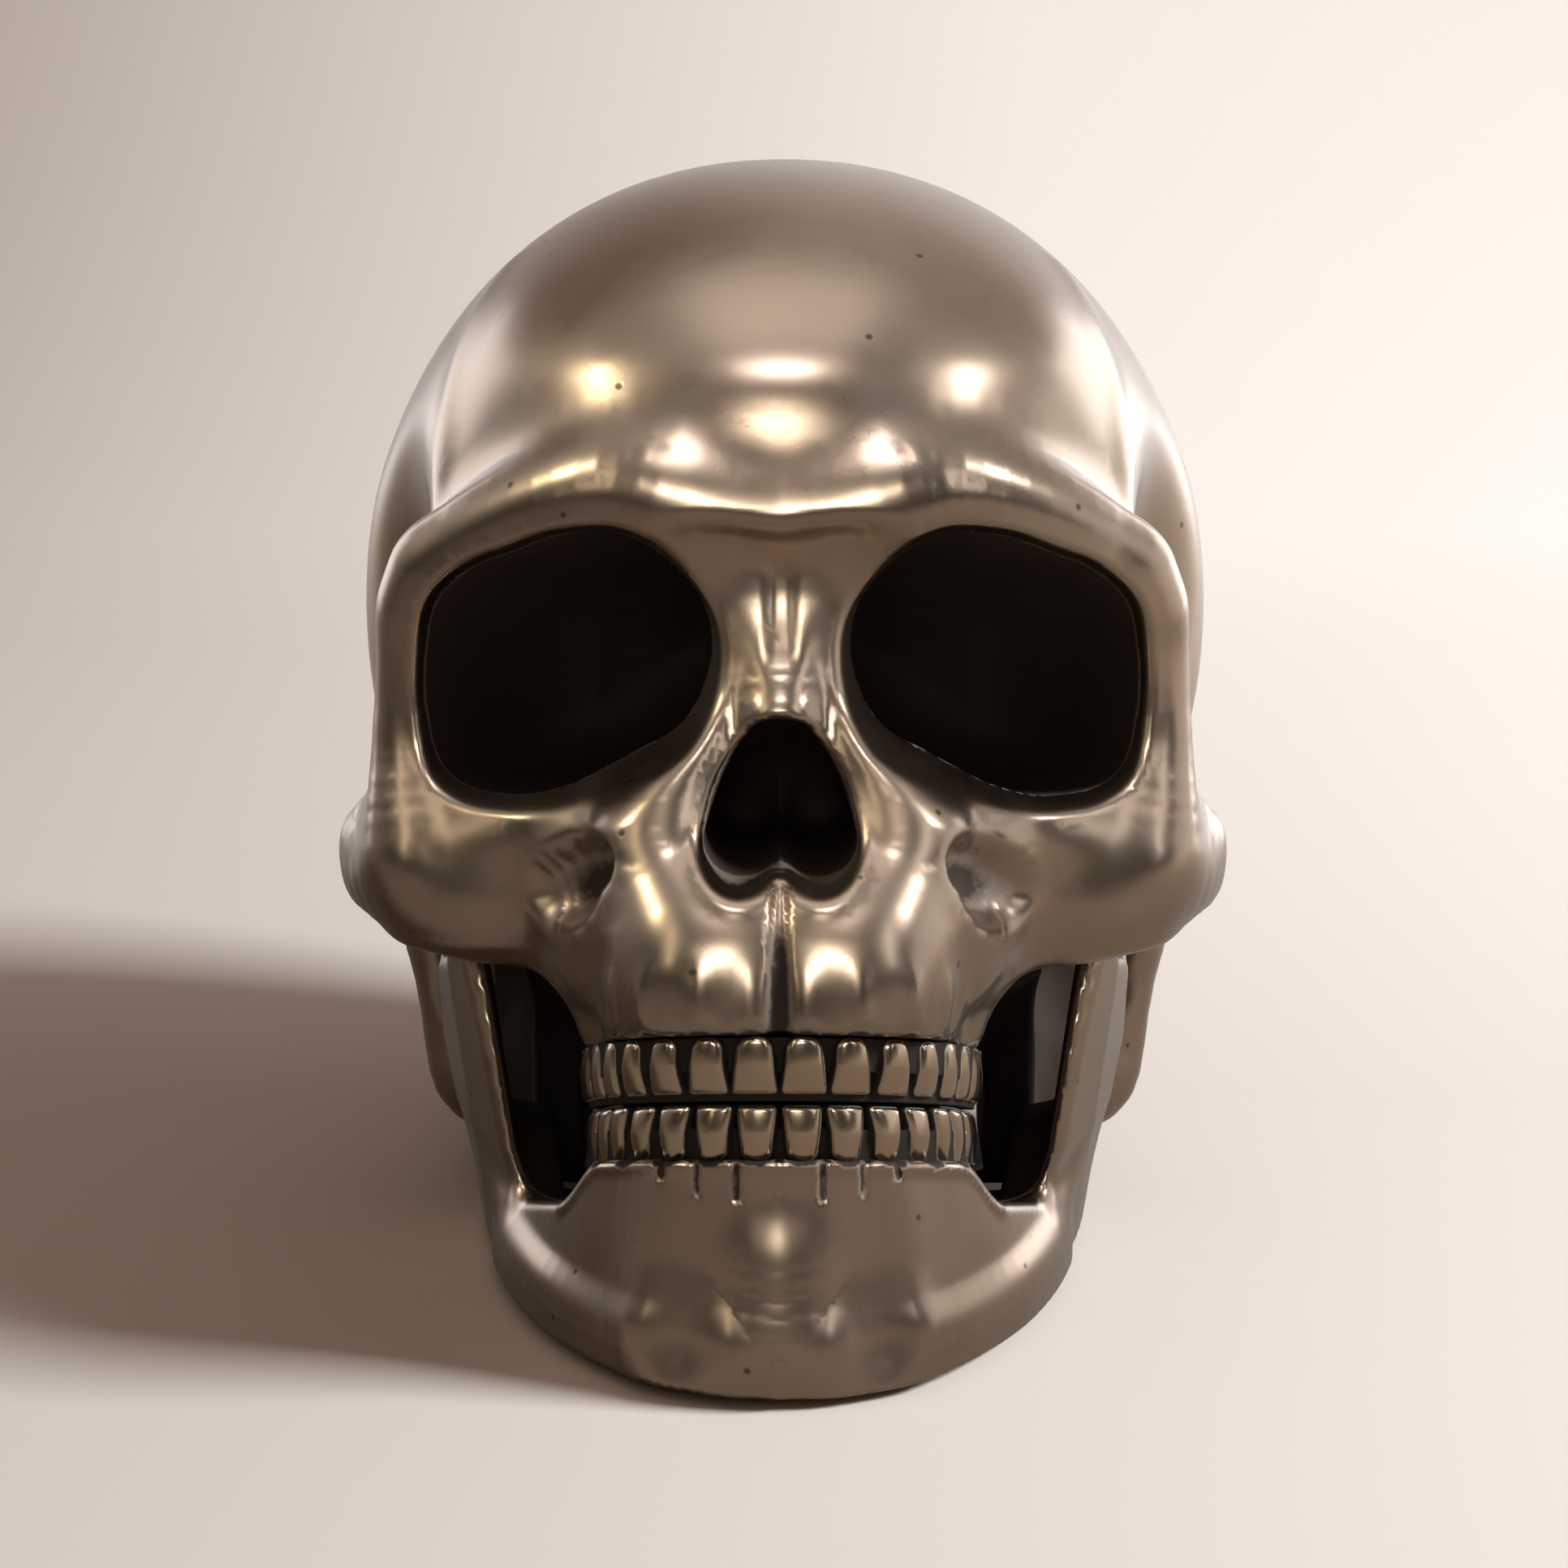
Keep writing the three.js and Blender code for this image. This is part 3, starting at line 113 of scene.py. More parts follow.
# Upper jaw, cheeks, arches and mastoids
MUZZLE_PLAN = dict(at=(0, -50, 58), radii=(27.6, 46.4, 1000), square=2.5)
MUZZLE_LEAN = 0.4
MUZZLE_TOP = 77
MUZZLE_TOP_FALL = 0.216
MUZZLE_FILL = dict(at=(0, -52, 72), radii=(31, 27, 18), square=2.2)
MUZZLE_LOBE = dict(at=(10, -80.4, 62.5), radii=(14.8, 16, 14.5), square=2.2)
MUZZLE_CORNER = [(18.5, -81.5, 62, 5.6), (18, -78.5, 70, 6.6)]
BUTTRESS = [(45, -53, 64, 6.5), (36, -54, 61.5, 7), (29.5, -56, 55, 5.8), (27, -58, 48, 4.6)]
INNER_FLANK = [(22, -73.5, 80, 6), (24.5, -72, 70, 7.5), (26, -69.5, 61, 7)]
OUTER_FLANK = [(30.5, -64.5, 76, 5.2), (31, -63, 68, 6.5), (29, -61, 58, 5.5)]
UPPER_JAW_RODS = [(BUTTRESS, 8), (INNER_FLANK, 7), (OUTER_FLANK, 7), (NOSE_SPINE, 4)]
CHEEK_HOLLOW = [(26.5, -77, 77, 3), (31, -73.5, 73.5, 5), (36, -69.5, 70.5, 3.6)]
EYE_PILLAR = [
    (54, -46.6, 117, 4.2), (56.8, -45.5, 107, 3.8), (58.4, -46, 94, 4), (58.6, -48, 83, 5.2),
    (57.4, -49.5, 74, 6.8),
]
CHEEK = dict(at=(50, -44.5, 68.5), radii=(14.5, 16.5, 15), square=2.2)
CHEEK_INNER = dict(at=(38.5, -46.5, 73), radii=(15.5, 15, 12.5), square=2.3)
CHEEK_EDGE = 57.2
CHEEK_EDGE_MIDDLE = -52
CHEEK_EDGE_FALL = 0.06
CHEEK_LIP_UP = 1.4
CHEEK_LIP = (0.4, 1.4)
UNDER_EYE = [
    (56, -48.5, 80, 5.6), (46, -53, 78, 6), (35, -58.5, 79, 5.8), (26, -64, 81.5, 5.4), (19, -68, 86, 5),
    (15, -69, 93, 4.6),
]
ARCH = [
    (57.5, -47, 70.5, 9), (63.5, -40, 67.5, 8.2), (67.2, -29, 65, 7.2), (69, -14, 62.5, 6), (68, 2, 61, 6),
    (66, 14, 59, 7.5),
]
ARCH_FLATNESS = 1.5
CHEEK_FLANGE = [(57.6, -44.5, 90, 3.2), (60.6, -40.5, 80, 4.4), (64.4, -33, 71, 6.4)]
MASTOID = [(60, 21, 52, 11), (57, 17, 34, 8.6), (55.5, 15, 18, 8), (54, 14, 14, 7.2)]

# Masses under the head that close the view through the mouth, and the hollows of the palate and the joint
WINGS = dict(at=(0, 2.5, 37), radii=(43, 17, 34), square=14)
BASE_BAR = [(54, 17, 38, 9), (53, 15, 20, 6), (47, 13, 17, 10), (34, 12, 15, 10.5), (12, 12, 17, 10.5)]
PALATE = dict(at=(0, -46, 38), radii=(22, 34, 13), tilt=20)
JOINT_HOLLOW = dict(at=(53, -2, 44), radii=(11.4, 13, 17.6), square=3)

# Eye socket: its middle at the rim and at the back, its radius every 22.5 degrees from the side of the
# head, up and round, and the thickness of its rim
SOCKET_RIM = (33.5, 104)
SOCKET_BACK = (17, 98)
SOCKET_DEPTH = 42
SOCKET_TAPER = 44
SOCKET_ROUNDNESS = 2.4
SOCKET_SWELL = 0.04
SOCKET_FLARE = 0.25
SOCKET_FLARE_END = 30
SOCKET_SIDE_SLOPE = 0.9
SOCKET_BACK_SLOPE = 0.8
SOCKET_RADII = [
    21.8, 21.6, 20, 18.8, 20.4, 22.9, 24, 24,
    22.4, 20, 16.8, 16.4, 18.6, 22.6, 26.2, 23.6,
]
SOCKET_WALLS = [
    3.1, 3.5, 4.6, 5.2, 5.4, 5.2, 5, 4,
    3, 3, 3.6, 4, 4.2, 4.2, 3.8, 3.2,
]
SOCKET_SHELL = 3.6
SOCKET_SHELL_START = 3

# Rim of the eye socket: how far forward it lies, how round it is, and the fine ridge on it, which melts away
# beside the nose
RIM_FRONT = -66.5
RIM_TURNS = [(8, 0.2), (30, 0.27)]
RIM_BROW_START = 112
RIM_BROW_HEIGHT = 14
RIM_BROW_FORWARD = 1.5
RIM_DIP = 4
RIM_DIP_X = (11, 5)
RIM_DIP_Z = (106, 11)
RIM_WIDTH_SHARE = 0.9
RIM_SET_BACK = 0.9
RIM_RIDGE_OUT = 1.6
RIM_RIDGE_DEPTH = 6
RIM_RIDGE_HEIGHT = 0.6
RIM_RIDGE_WIDTH = 1.5
RIM_RIDGE_MIDDLE = 1.04
RIM_RIDGE_MELT = (100, 50)

# Nose opening: middles and radii up one side, its back, and the fine ridge round it
NOSE_OPENING = [(5.8, 0, 81.4, 5.7), (3.4, 0, 88, 5.7), (0.8, 0, 94.6, 4.4)]
NOSE_BACK = -48
NOSE_RIDGE_OUT = 1.1
NOSE_RIDGE_BACK = -68
NOSE_RIDGE = (0.4, 1.3)

# Bite: heights are those at the front teeth, and everything falls towards the back
TEETH_FRONT = -96
BITE_FALL = 0.36
UPPER_BITE = 47.4
LOWER_BITE = 46.2
UPPER_GUM = 56.8
LOWER_GUM = 37
BITE_SLOT_LOW = 36.8
BITE_SLOT_HIGH = 54.4
BITE_SLOT_SIDE = 34.5

# Crowns from the middle to the back: place in plan and width
UPPER_CROWNS = [
    (3.55, -95.2, 6.5), (10.2, -93.5, 6.2), (16.3, -89.4, 6.1), (21, -83.4, 5.8), (24.3, -76.8, 5.7),
    (26.7, -69.6, 6.6), (28.4, -61.8, 7), (29.4, -53.8, 6.8),
]
LOWER_CROWNS = [
    (3.25, -93.4, 5.8), (9.4, -91.9, 5.8), (15.1, -88.1, 5.9), (19.8, -82.4, 5.8), (23.4, -75.8, 5.7),
    (25.9, -68.8, 6.5), (27.6, -61.2, 7), (28.6, -53.4, 6.6),
]

# Each row: its crowns, the heights they lie between, and 1 with the gum above or -1 with it below
UPPER_ROW = (UPPER_CROWNS, UPPER_BITE, UPPER_GUM - 0.3, 1)
LOWER_ROW = (LOWER_CROWNS, LOWER_GUM, LOWER_BITE, -1)

# Shape of a crown; towards the gum it narrows and its corners get rounder
FRONT_CROWNS = 4
CROWN_DEPTH = 3.2
CROWN_EDGE = 1.2
CROWN_SET_BACK = 0.8
CROWN_NARROWING = 0.16
CROWN_NARROWS_AT = 0.2
CROWN_CORNER = 1
CROWN_GUM_CORNER = 1.2
CROWN_BULGE = 0.8
CROWN_GUM_BULGE = 0.6
CROWN_BULGE_AT = 0.15
FRONT_LEAN = 0.7
BACK_LEAN = 0.2

# Bar of roots, filler between the crowns, and the screen behind the upper row; each to both sides of its line
ROOTS_SET_BACK = 1.7
ROOTS_DEPTH = 2.2
ROOTS_RISE = 2.6
ROOTS_FROM_EDGE = 2.8
FILLER_DEPTH = 1.2
FILLER_PAST = 0.8
FILLER_SHORT = 2
SCREEN_SET_BACK = 8.5
SCREEN_NARROWING = 1.2
SCREEN_DEPTH = 1.3
SCREEN_MIDDLE = 50
SCREEN_RISE = 4.5

# Gums: their edges with the scallops between the crowns, the swellings over the upper roots, and the grooves
# under the lower front teeth, each with its place and length
UPPER_GUM_EDGE = UPPER_GUM + 0.9
LOWER_GUM_EDGE = LOWER_GUM - 0.6
SCALLOP = 1.1
SCALLOP_REACH = (-1.6, 0.2)
OUTLINE_BACK = -6
SWELL_HEIGHT = 0.6
SWELL_WIDTH = 0.7
SWELL_BACK = -8
SWELL_START = (57, 59)
SWELL_END = (-70, -61)
GUM_GROOVE_TOP = 38
GUM_GROOVE = (-0.7, 0.6)
GUM_GROOVE_REACH = 0.3
GUM_GROOVES = [(0.3, -97.2, 5), (6.4, -96.6, 5.5), (12.3, -94.4, 5.5), (17.6, -89.8, 4)]

# Lower jaw: its lower border and its gum seen from above, its wall, the shelf at its foot and its floor
JAW_BORDER = [
    (0, -92.5), (9, -92), (17, -88.5), (25, -80), (32.5, -68),
    (38, -54), (41.5, -40), (44, -26), (45, -16),
]
JAW_GUM = [
    (0, -91.5), (8, -90), (15, -86), (21, -79), (25, -70),
    (27.5, -60), (29, -50), (31, -42), (34, -34),
]
JAW_RISE_START = 6
JAW_RISE = 30
JAW_WALL = 5.6
JAW_WALL_THINNING = 0.8
JAW_BODY_END = -42
JAW_UNDERSIDE = 1.5
JAW_GUM_DROP = 6.5
JAW_GUM_DROP_PLACE = (27.5, 34.5)
GUM_LIP_DOWN = 1
GUM_LIP_BACK = -70
GUM_LIP = (0.5, 1.1)
SHELF_SPREAD = 0.25
SHELF_THINNING = 0.2
SHELF_TOP = 11
SHELF_RISE = 9
SHELF_RISE_START = -46
SHELF_RISE_OVER = 16
WEB_TOP = 6.2
WEB_END = -20
CHIN = [(0, -92.8, 20, 4.2), (0, -93.4, 14, 5.4), (2, -93.2, 8, 6.4), (12, -90.6, 8, 6.4)]
CHIN_HOLLOW = [(16.5, -101, 31, 4.8), (17.5, -101.3, 10, 5)]

# The jaw's upright part: its outline from the side, where its middle stands, and its wall
RAMUS_CORNER = [(0, -31, 17, 15.5), (0, -28, 34, 15)]
RAMUS_FRONT = [(0, -34, 20, 12), (0, -36, 36, 9.5), (0, -37, 50, 6), (0, -34, 57, 3.2)]
RAMUS_BACK = [(0, -20, 34, 9), (0, -10, 44, 7), (0, 0, 51, 5)]
RAMUS_PLACE = (46.4, -45, 38)
RAMUS_SPREAD_BACK = 0.27
RAMUS_SPREAD_UP = 0.13
RAMUS_WIDEST = 54
RAMUS_TUCK = 0.16
RAMUS_TUCK_TOP = 22
RAMUS_HALF_WALL = 3.6
RAMUS_THINNING = 2.4
RAMUS_THIN_START = -32
RAMUS_THIN_OVER = 14

# Hinge: its knob, the space round it, and the jaw's bores as radius, start and end; and the head's flat
# underside with its well
HINGE_Y = 0.51
HINGE_Z = 52.45
KNOB_START = 43.5
KNOB_END = 58.2
KNOB_RADIUS = 5.6
BOSS_FACE = 41.6
JOINT_SPACE = 1.6
JOINT_POCKET_END = 62
INSERT_RADIUS = 3.5
INSERT_DEPTH = 10
OVERRUN = 1
JAW_BORES = [(2.7, 30, 70), (9, 26, KNOB_START), (6.7, KNOB_END, 70)]
HEAD_UNDERSIDE = 4.8
WELL_Y = 38
WELL_RADIUS = 9.5
WELL_TOP = 35

# Backdrop, in metres: a floor that curves up into a wall
FLOOR_FRONT = -0.62
FLOOR_BACK = 0.5
CURVE_RADIUS = 0.9
CURVE_STEPS = 12
WALL_TOP = 3.2
SHEET_SIDE = 3.0

# Softboxes that are seen only in the bronze: name, place, size, power and colour
SOFTBOXES = [
    ("high_strip", (0.0, -0.46, 0.85), (0.22, 0.06), 1.6, (1, 0.93, 0.92)),
    ("front_strip", (-0.06, -0.8, 0.42), (0.3, 0.12), 2.4, (1, 0.92, 0.8)),
    ("top_window", (0.0, 0.05, 1.1), (0.6, 0.55), 1.0, (1, 0.96, 0.92)),
    ("left_spot", (-0.66, -0.2, 0.62), (0.11, 0.14), 1.8, (1, 0.88, 0.62)),
    ("right_spot", (0.66, -0.2, 0.62), (0.11, 0.14), 1.6, (1, 0.97, 0.94)),
    ("left_strip", (-0.54, -0.52, 0.42), (0.05, 0.45), 0.4, (1, 0.88, 0.66)),
    ("right_strip", (0.54, -0.52, 0.42), (0.07, 0.45), 0.5, (1, 0.96, 0.92)),
    ("right_fill", (0.85, 0.0, 0.2), (0.6, 0.4), 0.6, (1, 0.96, 0.93)),
    ("right_rim", (0.7, 0.6, 0.25), (0.5, 0.5), 2.4, (0.94, 0.96, 1)),
    ("left_rim", (-0.7, 0.6, 0.25), (0.5, 0.5), 1.5, (0.95, 0.97, 1)),
]
LAMP_TARGET = (0, 0, 0.09)

# Camera
CAMERA_DISTANCE = 0.6
CAMERA_RISE = 13.0
CAMERA_TURN = 0.4
CAMERA_LENS = 80.7
CAMERA_TARGET = (0, 0, 0.0718)


def melt(a, b, blend):
    """Melts two masses together over a blend in millimetres."""
    overlap = np.maximum(blend - np.abs(a - b), 0) / blend
    return np.minimum(a, b) - overlap * overlap * blend / 4


def joined(mass, *others):
    """Melts more masses into one, in turn; each comes with its blend."""
    for other, blend in others:
        mass = melt(mass, other, blend)
    return mass


def cut(a, b, blend):
    """Cuts one mass with another over a blend in millimetres."""
    return -melt(-a, -b, blend)


def blob(p, at, radii, tilt=0, square=2.0):
    """An ellipsoid, squarer as its power rises, with its front end tilted up by some degrees."""
    x = np.abs(p[0] - at[0]) / radii[0]
    y, z = p[1] - at[1], p[2] - at[2]
    cos_tilt, sin_tilt = math.cos(math.radians(tilt)), math.sin(math.radians(tilt))
    y, z = np.abs(y * cos_tilt - z * sin_tilt) / radii[1], np.abs(y * sin_tilt + z * cos_tilt) / radii[2]
    size = (x**square + y**square + z**square) ** (1 / square) + 1e-6
    power = square - 1
    slope = np.sqrt((x**power / radii[0]) ** 2 + (y**power / radii[1]) ** 2 + (z**power / radii[2]) ** 2)
    return (size - 1) / (slope * size ** (1 - square) + 1e-6)


def rod(p, start, end, flatness=1.0):
    """A rod that tapers from one knot to the next; a knot is a place and a radius."""
    px, py, pz = (p[0] - start[0]) * flatness, p[1] - start[1], p[2] - start[2]
    dx, dy, dz = (end[0] - start[0]) * flatness, end[1] - start[1], end[2] - start[2]
    along = np.clip((px * dx + py * dy + pz * dz) / (dx * dx + dy * dy + dz * dz), 0, 1)
    off = np.sqrt((px - along * dx) ** 2 + (py - along * dy) ** 2 + (pz - along * dz) ** 2)
    return off - start[3] - along * (end[3] - start[3])


def smooth_line(points, pieces=4):
    """Rounds a line of points by putting more of them between on a smooth curve."""
    points = np.asarray(points, float)
    ends = np.vstack([2 * points[0] - points[1], points, 2 * points[-1] - points[-2]])
    rows = []
    for a, b, c, d in zip(ends[:-3], ends[1:-2], ends[2:-1], ends[3:]):
        for t in np.arange(pieces) / pieces:
            rows.append(b + 0.5 * t * (c - a + t * (2 * a - 5 * b + 4 * c - d + t * (3 * (b - c) + d - a))))
    return np.vstack(rows + [points[-1]])


def chain(p, knots, flatness=1.0):
    """A smooth tapered rod through knots; far from it only a rough distance is given, which is enough."""
    knots = smooth_line(knots, 3)
    reach = knots[:, 3].max() + CHAIN_REACH
    low, high = knots[:, :3].min(axis=0) - reach, knots[:, :3].max(axis=0) + reach
    near = np.ones(np.shape(p[0]), bool)
    for i in range(3):
        near &= (p[i] > low[i]) & (p[i] < high[i])
    mass = np.full(np.shape(p[0]), CHAIN_REACH)
    close = tuple(c[near] for c in p)
    nearest = np.full(np.shape(close[0]), CHAIN_REACH)
    for start, end in zip(knots[:-1], knots[1:]):
        nearest = np.minimum(nearest, rod(close, start, end, flatness))
    mass[near] = nearest
    return mass


def fold(p):
    """Brings both sides of the skull onto one, with no crease where they meet."""
    return (np.sqrt(p[0] ** 2 + FOLD * FOLD), p[1], p[2])


def bell(away, width):
    """1 on a line, falling softly to 0 away from it."""
    return np.exp(-((away / width) ** 2))


def raised(mass, away, height, width):
    """Raises the skin of a mass along a line, or sinks it where the height is below zero."""
    return mass - height * bell(away, width)


def fade(values, start, end):
    """Rises smoothly from 0 at the start to 1 at the end."""
    t = np.clip((values - start) / (end - start), 0, 1)
    return t * t * (3 - 2 * t)


def rounded_corner(a, b, radius):
    """Distance outside two walls that meet in a rounded corner; each wall is given moved in by the radius."""
    return np.hypot(np.maximum(a, 0), np.maximum(b, 0)) + np.minimum(np.maximum(a, b), 0) - radius


def round_curve(angle, radii):
    """A smooth closed curve through radii at equal angles."""
    radii = np.asarray(radii, float)
    count = len(radii)
    turn = (angle / (2 * np.pi)) % 1.0 * count
    i = np.floor(turn).astype(int) % count
    t = turn - np.floor(turn)
    a, b, c, d = (radii[(i + step) % count] for step in (-1, 0, 1, 2))
    return b + 0.5 * t * (c - a + t * (2 * a - 5 * b + 4 * c - d + t * (3 * (b - c) + d - a)))


def plan_distance(p, share, lower, upper):
    """Distance in plan to a line between two outlines, the lower one at share 0 and the upper at share 1."""
    nearest = np.full(np.shape(p[0]), FAR)
    for (low_a, low_b), (high_a, high_b) in zip(zip(lower[:-1], lower[1:]), zip(upper[:-1], upper[1:])):
        ax = low_a[0] + (high_a[0] - low_a[0]) * share
        ay = low_a[1] + (high_a[1] - low_a[1]) * share
        dx = low_b[0] + (high_b[0] - low_b[0]) * share - ax
        dy = low_b[1] + (high_b[1] - low_b[1]) * share - ay
        px, py = p[0] - ax, p[1] - ay
        along = np.clip((px * dx + py * dy) / (dx * dx + dy * dy), 0, 1)
        nearest = np.minimum(nearest, np.hypot(px - along * dx, py - along * dy))
    return nearest


def bite_level(p):
    """Height of a point once the fall of the bite is taken out."""
    return p[2] + BITE_FALL * (p[1] - TEETH_FRONT)


def rim_depth(p):
    """How far forward the rim of the eye socket lies: it turns back to the side and beside the nose."""
    turn = sum(np.maximum(p[0] - start, 0) * slope for start, slope in RIM_TURNS)
    brow = np.clip((p[2] - RIM_BROW_START) / RIM_BROW_HEIGHT, 0, 1) * RIM_BROW_FORWARD
    aside = ((p[0] - RIM_DIP_X[0]) / RIM_DIP_X[1]) ** 2
    above = ((p[2] - RIM_DIP_Z[0]) / RIM_DIP_Z[1]) ** 2
    return RIM_FRONT + turn - brow + RIM_DIP * np.exp(-aside - above)


def socket_place(p):
    """Where the socket's rim lies; and a point's depth in it as a share, angle round it and distance out."""
    front = rim_depth(p)
    depth = np.clip((p[1] - front) / SOCKET_TAPER, 0, 1)
    dx = p[0] - SOCKET_RIM[0] - (SOCKET_BACK[0] - SOCKET_RIM[0]) * depth
    dz = p[2] - SOCKET_RIM[1] - (SOCKET_BACK[1] - SOCKET_RIM[1]) * depth
    angle = np.arctan2(dz, dx)
    return front, depth, angle, np.hypot(dx, dz)


def socket(p, wall=0.0):
    """The hollow of the eye socket, or with a wall the bone round it."""
    front, depth, angle, away = socket_place(p)
    swell = 1 + SOCKET_SWELL * np.sin(depth * math.pi)
    shrink = np.sqrt(np.maximum(1 - depth**SOCKET_ROUNDNESS, 0)) * swell
    flare = np.clip(front - p[1], 0, SOCKET_FLARE_END) * SOCKET_FLARE
    side = (away - round_curve(angle, SOCKET_RADII) * shrink - wall - flare) * SOCKET_SIDE_SLOPE
    return cut(side, (p[1] - front - SOCKET_DEPTH - wall) * SOCKET_BACK_SLOPE, 8)


def socket_rim(p):
    """The rounded rim of the eye socket."""
    front, _, angle, away = socket_place(p)
    wall = round_curve(angle, SOCKET_WALLS)
    out = away - round_curve(angle, SOCKET_RADII) - wall
    return np.sqrt(out**2 * RIM_WIDTH_SHARE + (p[1] - front - wall * RIM_SET_BACK) ** 2) - wall


def nose_opening(p):
    """The pear-shaped opening of the nose."""
    flat = (p[0], p[1] * 0, p[2])
    return chain(flat, NOSE_OPENING)


def brain_case(p):
    """The round braincase without the face."""
    others = [(FOREHEAD, 12), (FRONTAL, 10), (OCCIPUT, 22), (SKULL_BASE, 16)]
    return joined(blob(p, **VAULT), *[(blob(p, **shape), blend) for shape, blend in others])


def muzzle(p):
    """The upper jaw round the roots of the teeth: a gum wall, with two lobes that swell over it."""
    middle = MUZZLE_PLAN["at"][2]
    leaning = (p[0], p[1] - MUZZLE_LEAN * (p[2] - middle), p[2] * 0 + middle)
    top = p[2] - MUZZLE_TOP + MUZZLE_TOP_FALL * (p[1] - TEETH_FRONT)
    bone = cut(blob(leaning, **MUZZLE_PLAN), top, 8)
    bone = joined(bone, (blob(p, **MUZZLE_LOBE), 8), (chain(p, MUZZLE_CORNER), 4))
    level = bite_level(p)
    swell = SWELL_HEIGHT * root_swell(p, UPPER_ROW)
    bone = bone - swell * fade(level, *SWELL_START) * fade(-level, *SWELL_END)
    gum_edge = UPPER_GUM_EDGE - SCALLOP * fade(outline_distance(p, UPPER_ROW), *SCALLOP_REACH)
    return cut(bone, gum_edge - level, 1.2)


def root_swell(p, row):
    """How much the gum swells over the nearest root, from 0 between two roots to 1 on one."""
    swell = np.zeros(np.shape(p[0]))
    for _, along, outward, _, _ in crown_faces(p, *row):
        swell = np.maximum(swell, bell(along, SWELL_WIDTH) * (outward > SWELL_BACK))
    return swell


def cheek(p):
    """The cheekbone, from the pillar beside the eye to the knob under it."""
    body = joined(blob(p, **CHEEK), (blob(p, **CHEEK_INNER), 5), (chain(p, UNDER_EYE), 5))
    low_edge = CHEEK_EDGE - CHEEK_EDGE_FALL * (p[1] - CHEEK_EDGE_MIDDLE) - p[2]
    body = cut(body, low_edge, 1.8)
    body = raised(body, low_edge + CHEEK_LIP_UP, *CHEEK_LIP)
    return melt(chain(p, EYE_PILLAR), body, 6)


def rim_strength(angle):
    """The ridge on the rim of the eye socket is full at the outer side and melts away beside the nose."""
    turn = np.abs((angle / math.pi + RIM_RIDGE_MIDDLE) % 2 - 1) * 180
    start, length = RIM_RIDGE_MELT
    return 1 - np.clip((turn - start) / length, 0, 1)


def braincase_and_brow(p):
    """The braincase with its temples, the middle of the face and the brow."""
    temple = melt(blob(p, **TEMPLE), blob(p, **TEMPLE_LOW), 8)
    bone = cut(brain_case(p), -temple, 9)
    bone = raised(bone, chain(p, TEMPLE_LINE), *TEMPLE_RIDGE)
    bone = joined(bone, (blob(p, **MID_FACE), 8), (chain(p, BROW), 13))
    return cut(bone, -chain(p, UNDER_BROW), 2.0)


def upper_jaw(p):
    """The sides of the nose, the upper jaw and the bone that joins it to the cheeks."""
    bone = joined(chain(p, NOSE_SIDE), (muzzle(p), 6), (blob(p, **MUZZLE_FILL), 6))
    return joined(bone, *[(chain(p, line), blend) for line, blend in UPPER_JAW_RODS])


def cut_socket(p, bone):
    """Sharpens the rim of the eye socket and hollows the socket out."""
    front, _, angle, away = socket_place(p)
    out = away - round_curve(angle, SOCKET_RADII) - RIM_RIDGE_OUT
    rim_line = np.hypot(out, np.maximum(p[1] - front - RIM_RIDGE_DEPTH, 0))
    bone = raised(bone, rim_line, RIM_RIDGE_HEIGHT * rim_strength(angle), RIM_RIDGE_WIDTH)
    return cut(bone, -socket(p), 2.2)


def cut_nose(p, bone):
    """Raises a fine ridge round the opening of the nose and hollows it out."""
    opening = nose_opening(p)
    ridge = np.hypot(opening - NOSE_RIDGE_OUT, np.maximum(p[1] - NOSE_RIDGE_BACK, 0))
    bone = raised(bone, ridge, *NOSE_RIDGE)
    return cut(bone, -cut(opening, p[1] - NOSE_BACK, 6), 0.8)


def head(p):
    """The whole upper casting, as distance out from its skin."""
    p = fold(p)
    bone = braincase_and_brow(p)
    shell = cut(socket(p, SOCKET_SHELL), rim_depth(p) + SOCKET_SHELL_START - p[1], 3)
    arch = melt(chain(p, ARCH, ARCH_FLATNESS), chain(p, CHEEK_FLANGE), 5)
    bone = joined(bone, (shell, 4), (socket_rim(p), 4), (chain(p, BRIDGE), 8), (upper_jaw(p), 6))
    bone = joined(bone, (cheek(p), 8), (arch, 6), (blob(p, **WINGS), 8))
    bone = joined(bone, (chain(p, MASTOID), 8), (chain(p, BASE_BAR), 6))
    bone = cut(bone, -chain(p, CHEEK_HOLLOW), 4)
    bone = cut_nose(p, cut_socket(p, bone))
    bone = midline_grooves(p, bone)
    bone = cut(bone, -blob(p, **PALATE), 3)
    bone = cut(bone, -blob(p, **JOINT_HOLLOW), 4)
    return head_fittings(p, bone)


def seam_width(p, narrowest):
    """Half the width of the seam over the front teeth, which widens downward."""
    return narrowest + SEAM_WIDENING * np.clip(SEAM["high"] - p[2], 0, SEAM_WIDENS_OVER)


def midline_groove(p, depth, low, high, end, width):
    """Depth of a groove down the middle of the face between two heights; its ends run out softly."""
    past = np.maximum(np.maximum(p[2] - high, low - p[2]), 0)
    behind = np.maximum(p[1] - GROOVES_BACK, 0)
    return depth * bell(p[0] - FOLD, width) * bell(np.hypot(past, behind), end)


def midline_grooves(p, bone):
    """Sinks the seam over the front teeth and the one between the brows."""
    return bone + midline_groove(p, **SEAM, width=seam_width(p, SEAM_WIDTH)) + midline_groove(p, **FROWN)


def across(p, radius, near, far):
    """A round bar along the hinge, from near the middle to far out."""
    off = np.hypot(p[1] - HINGE_Y, p[2] - HINGE_Z) - radius
    return np.maximum(off, np.maximum(near - p[0], p[0] - far))


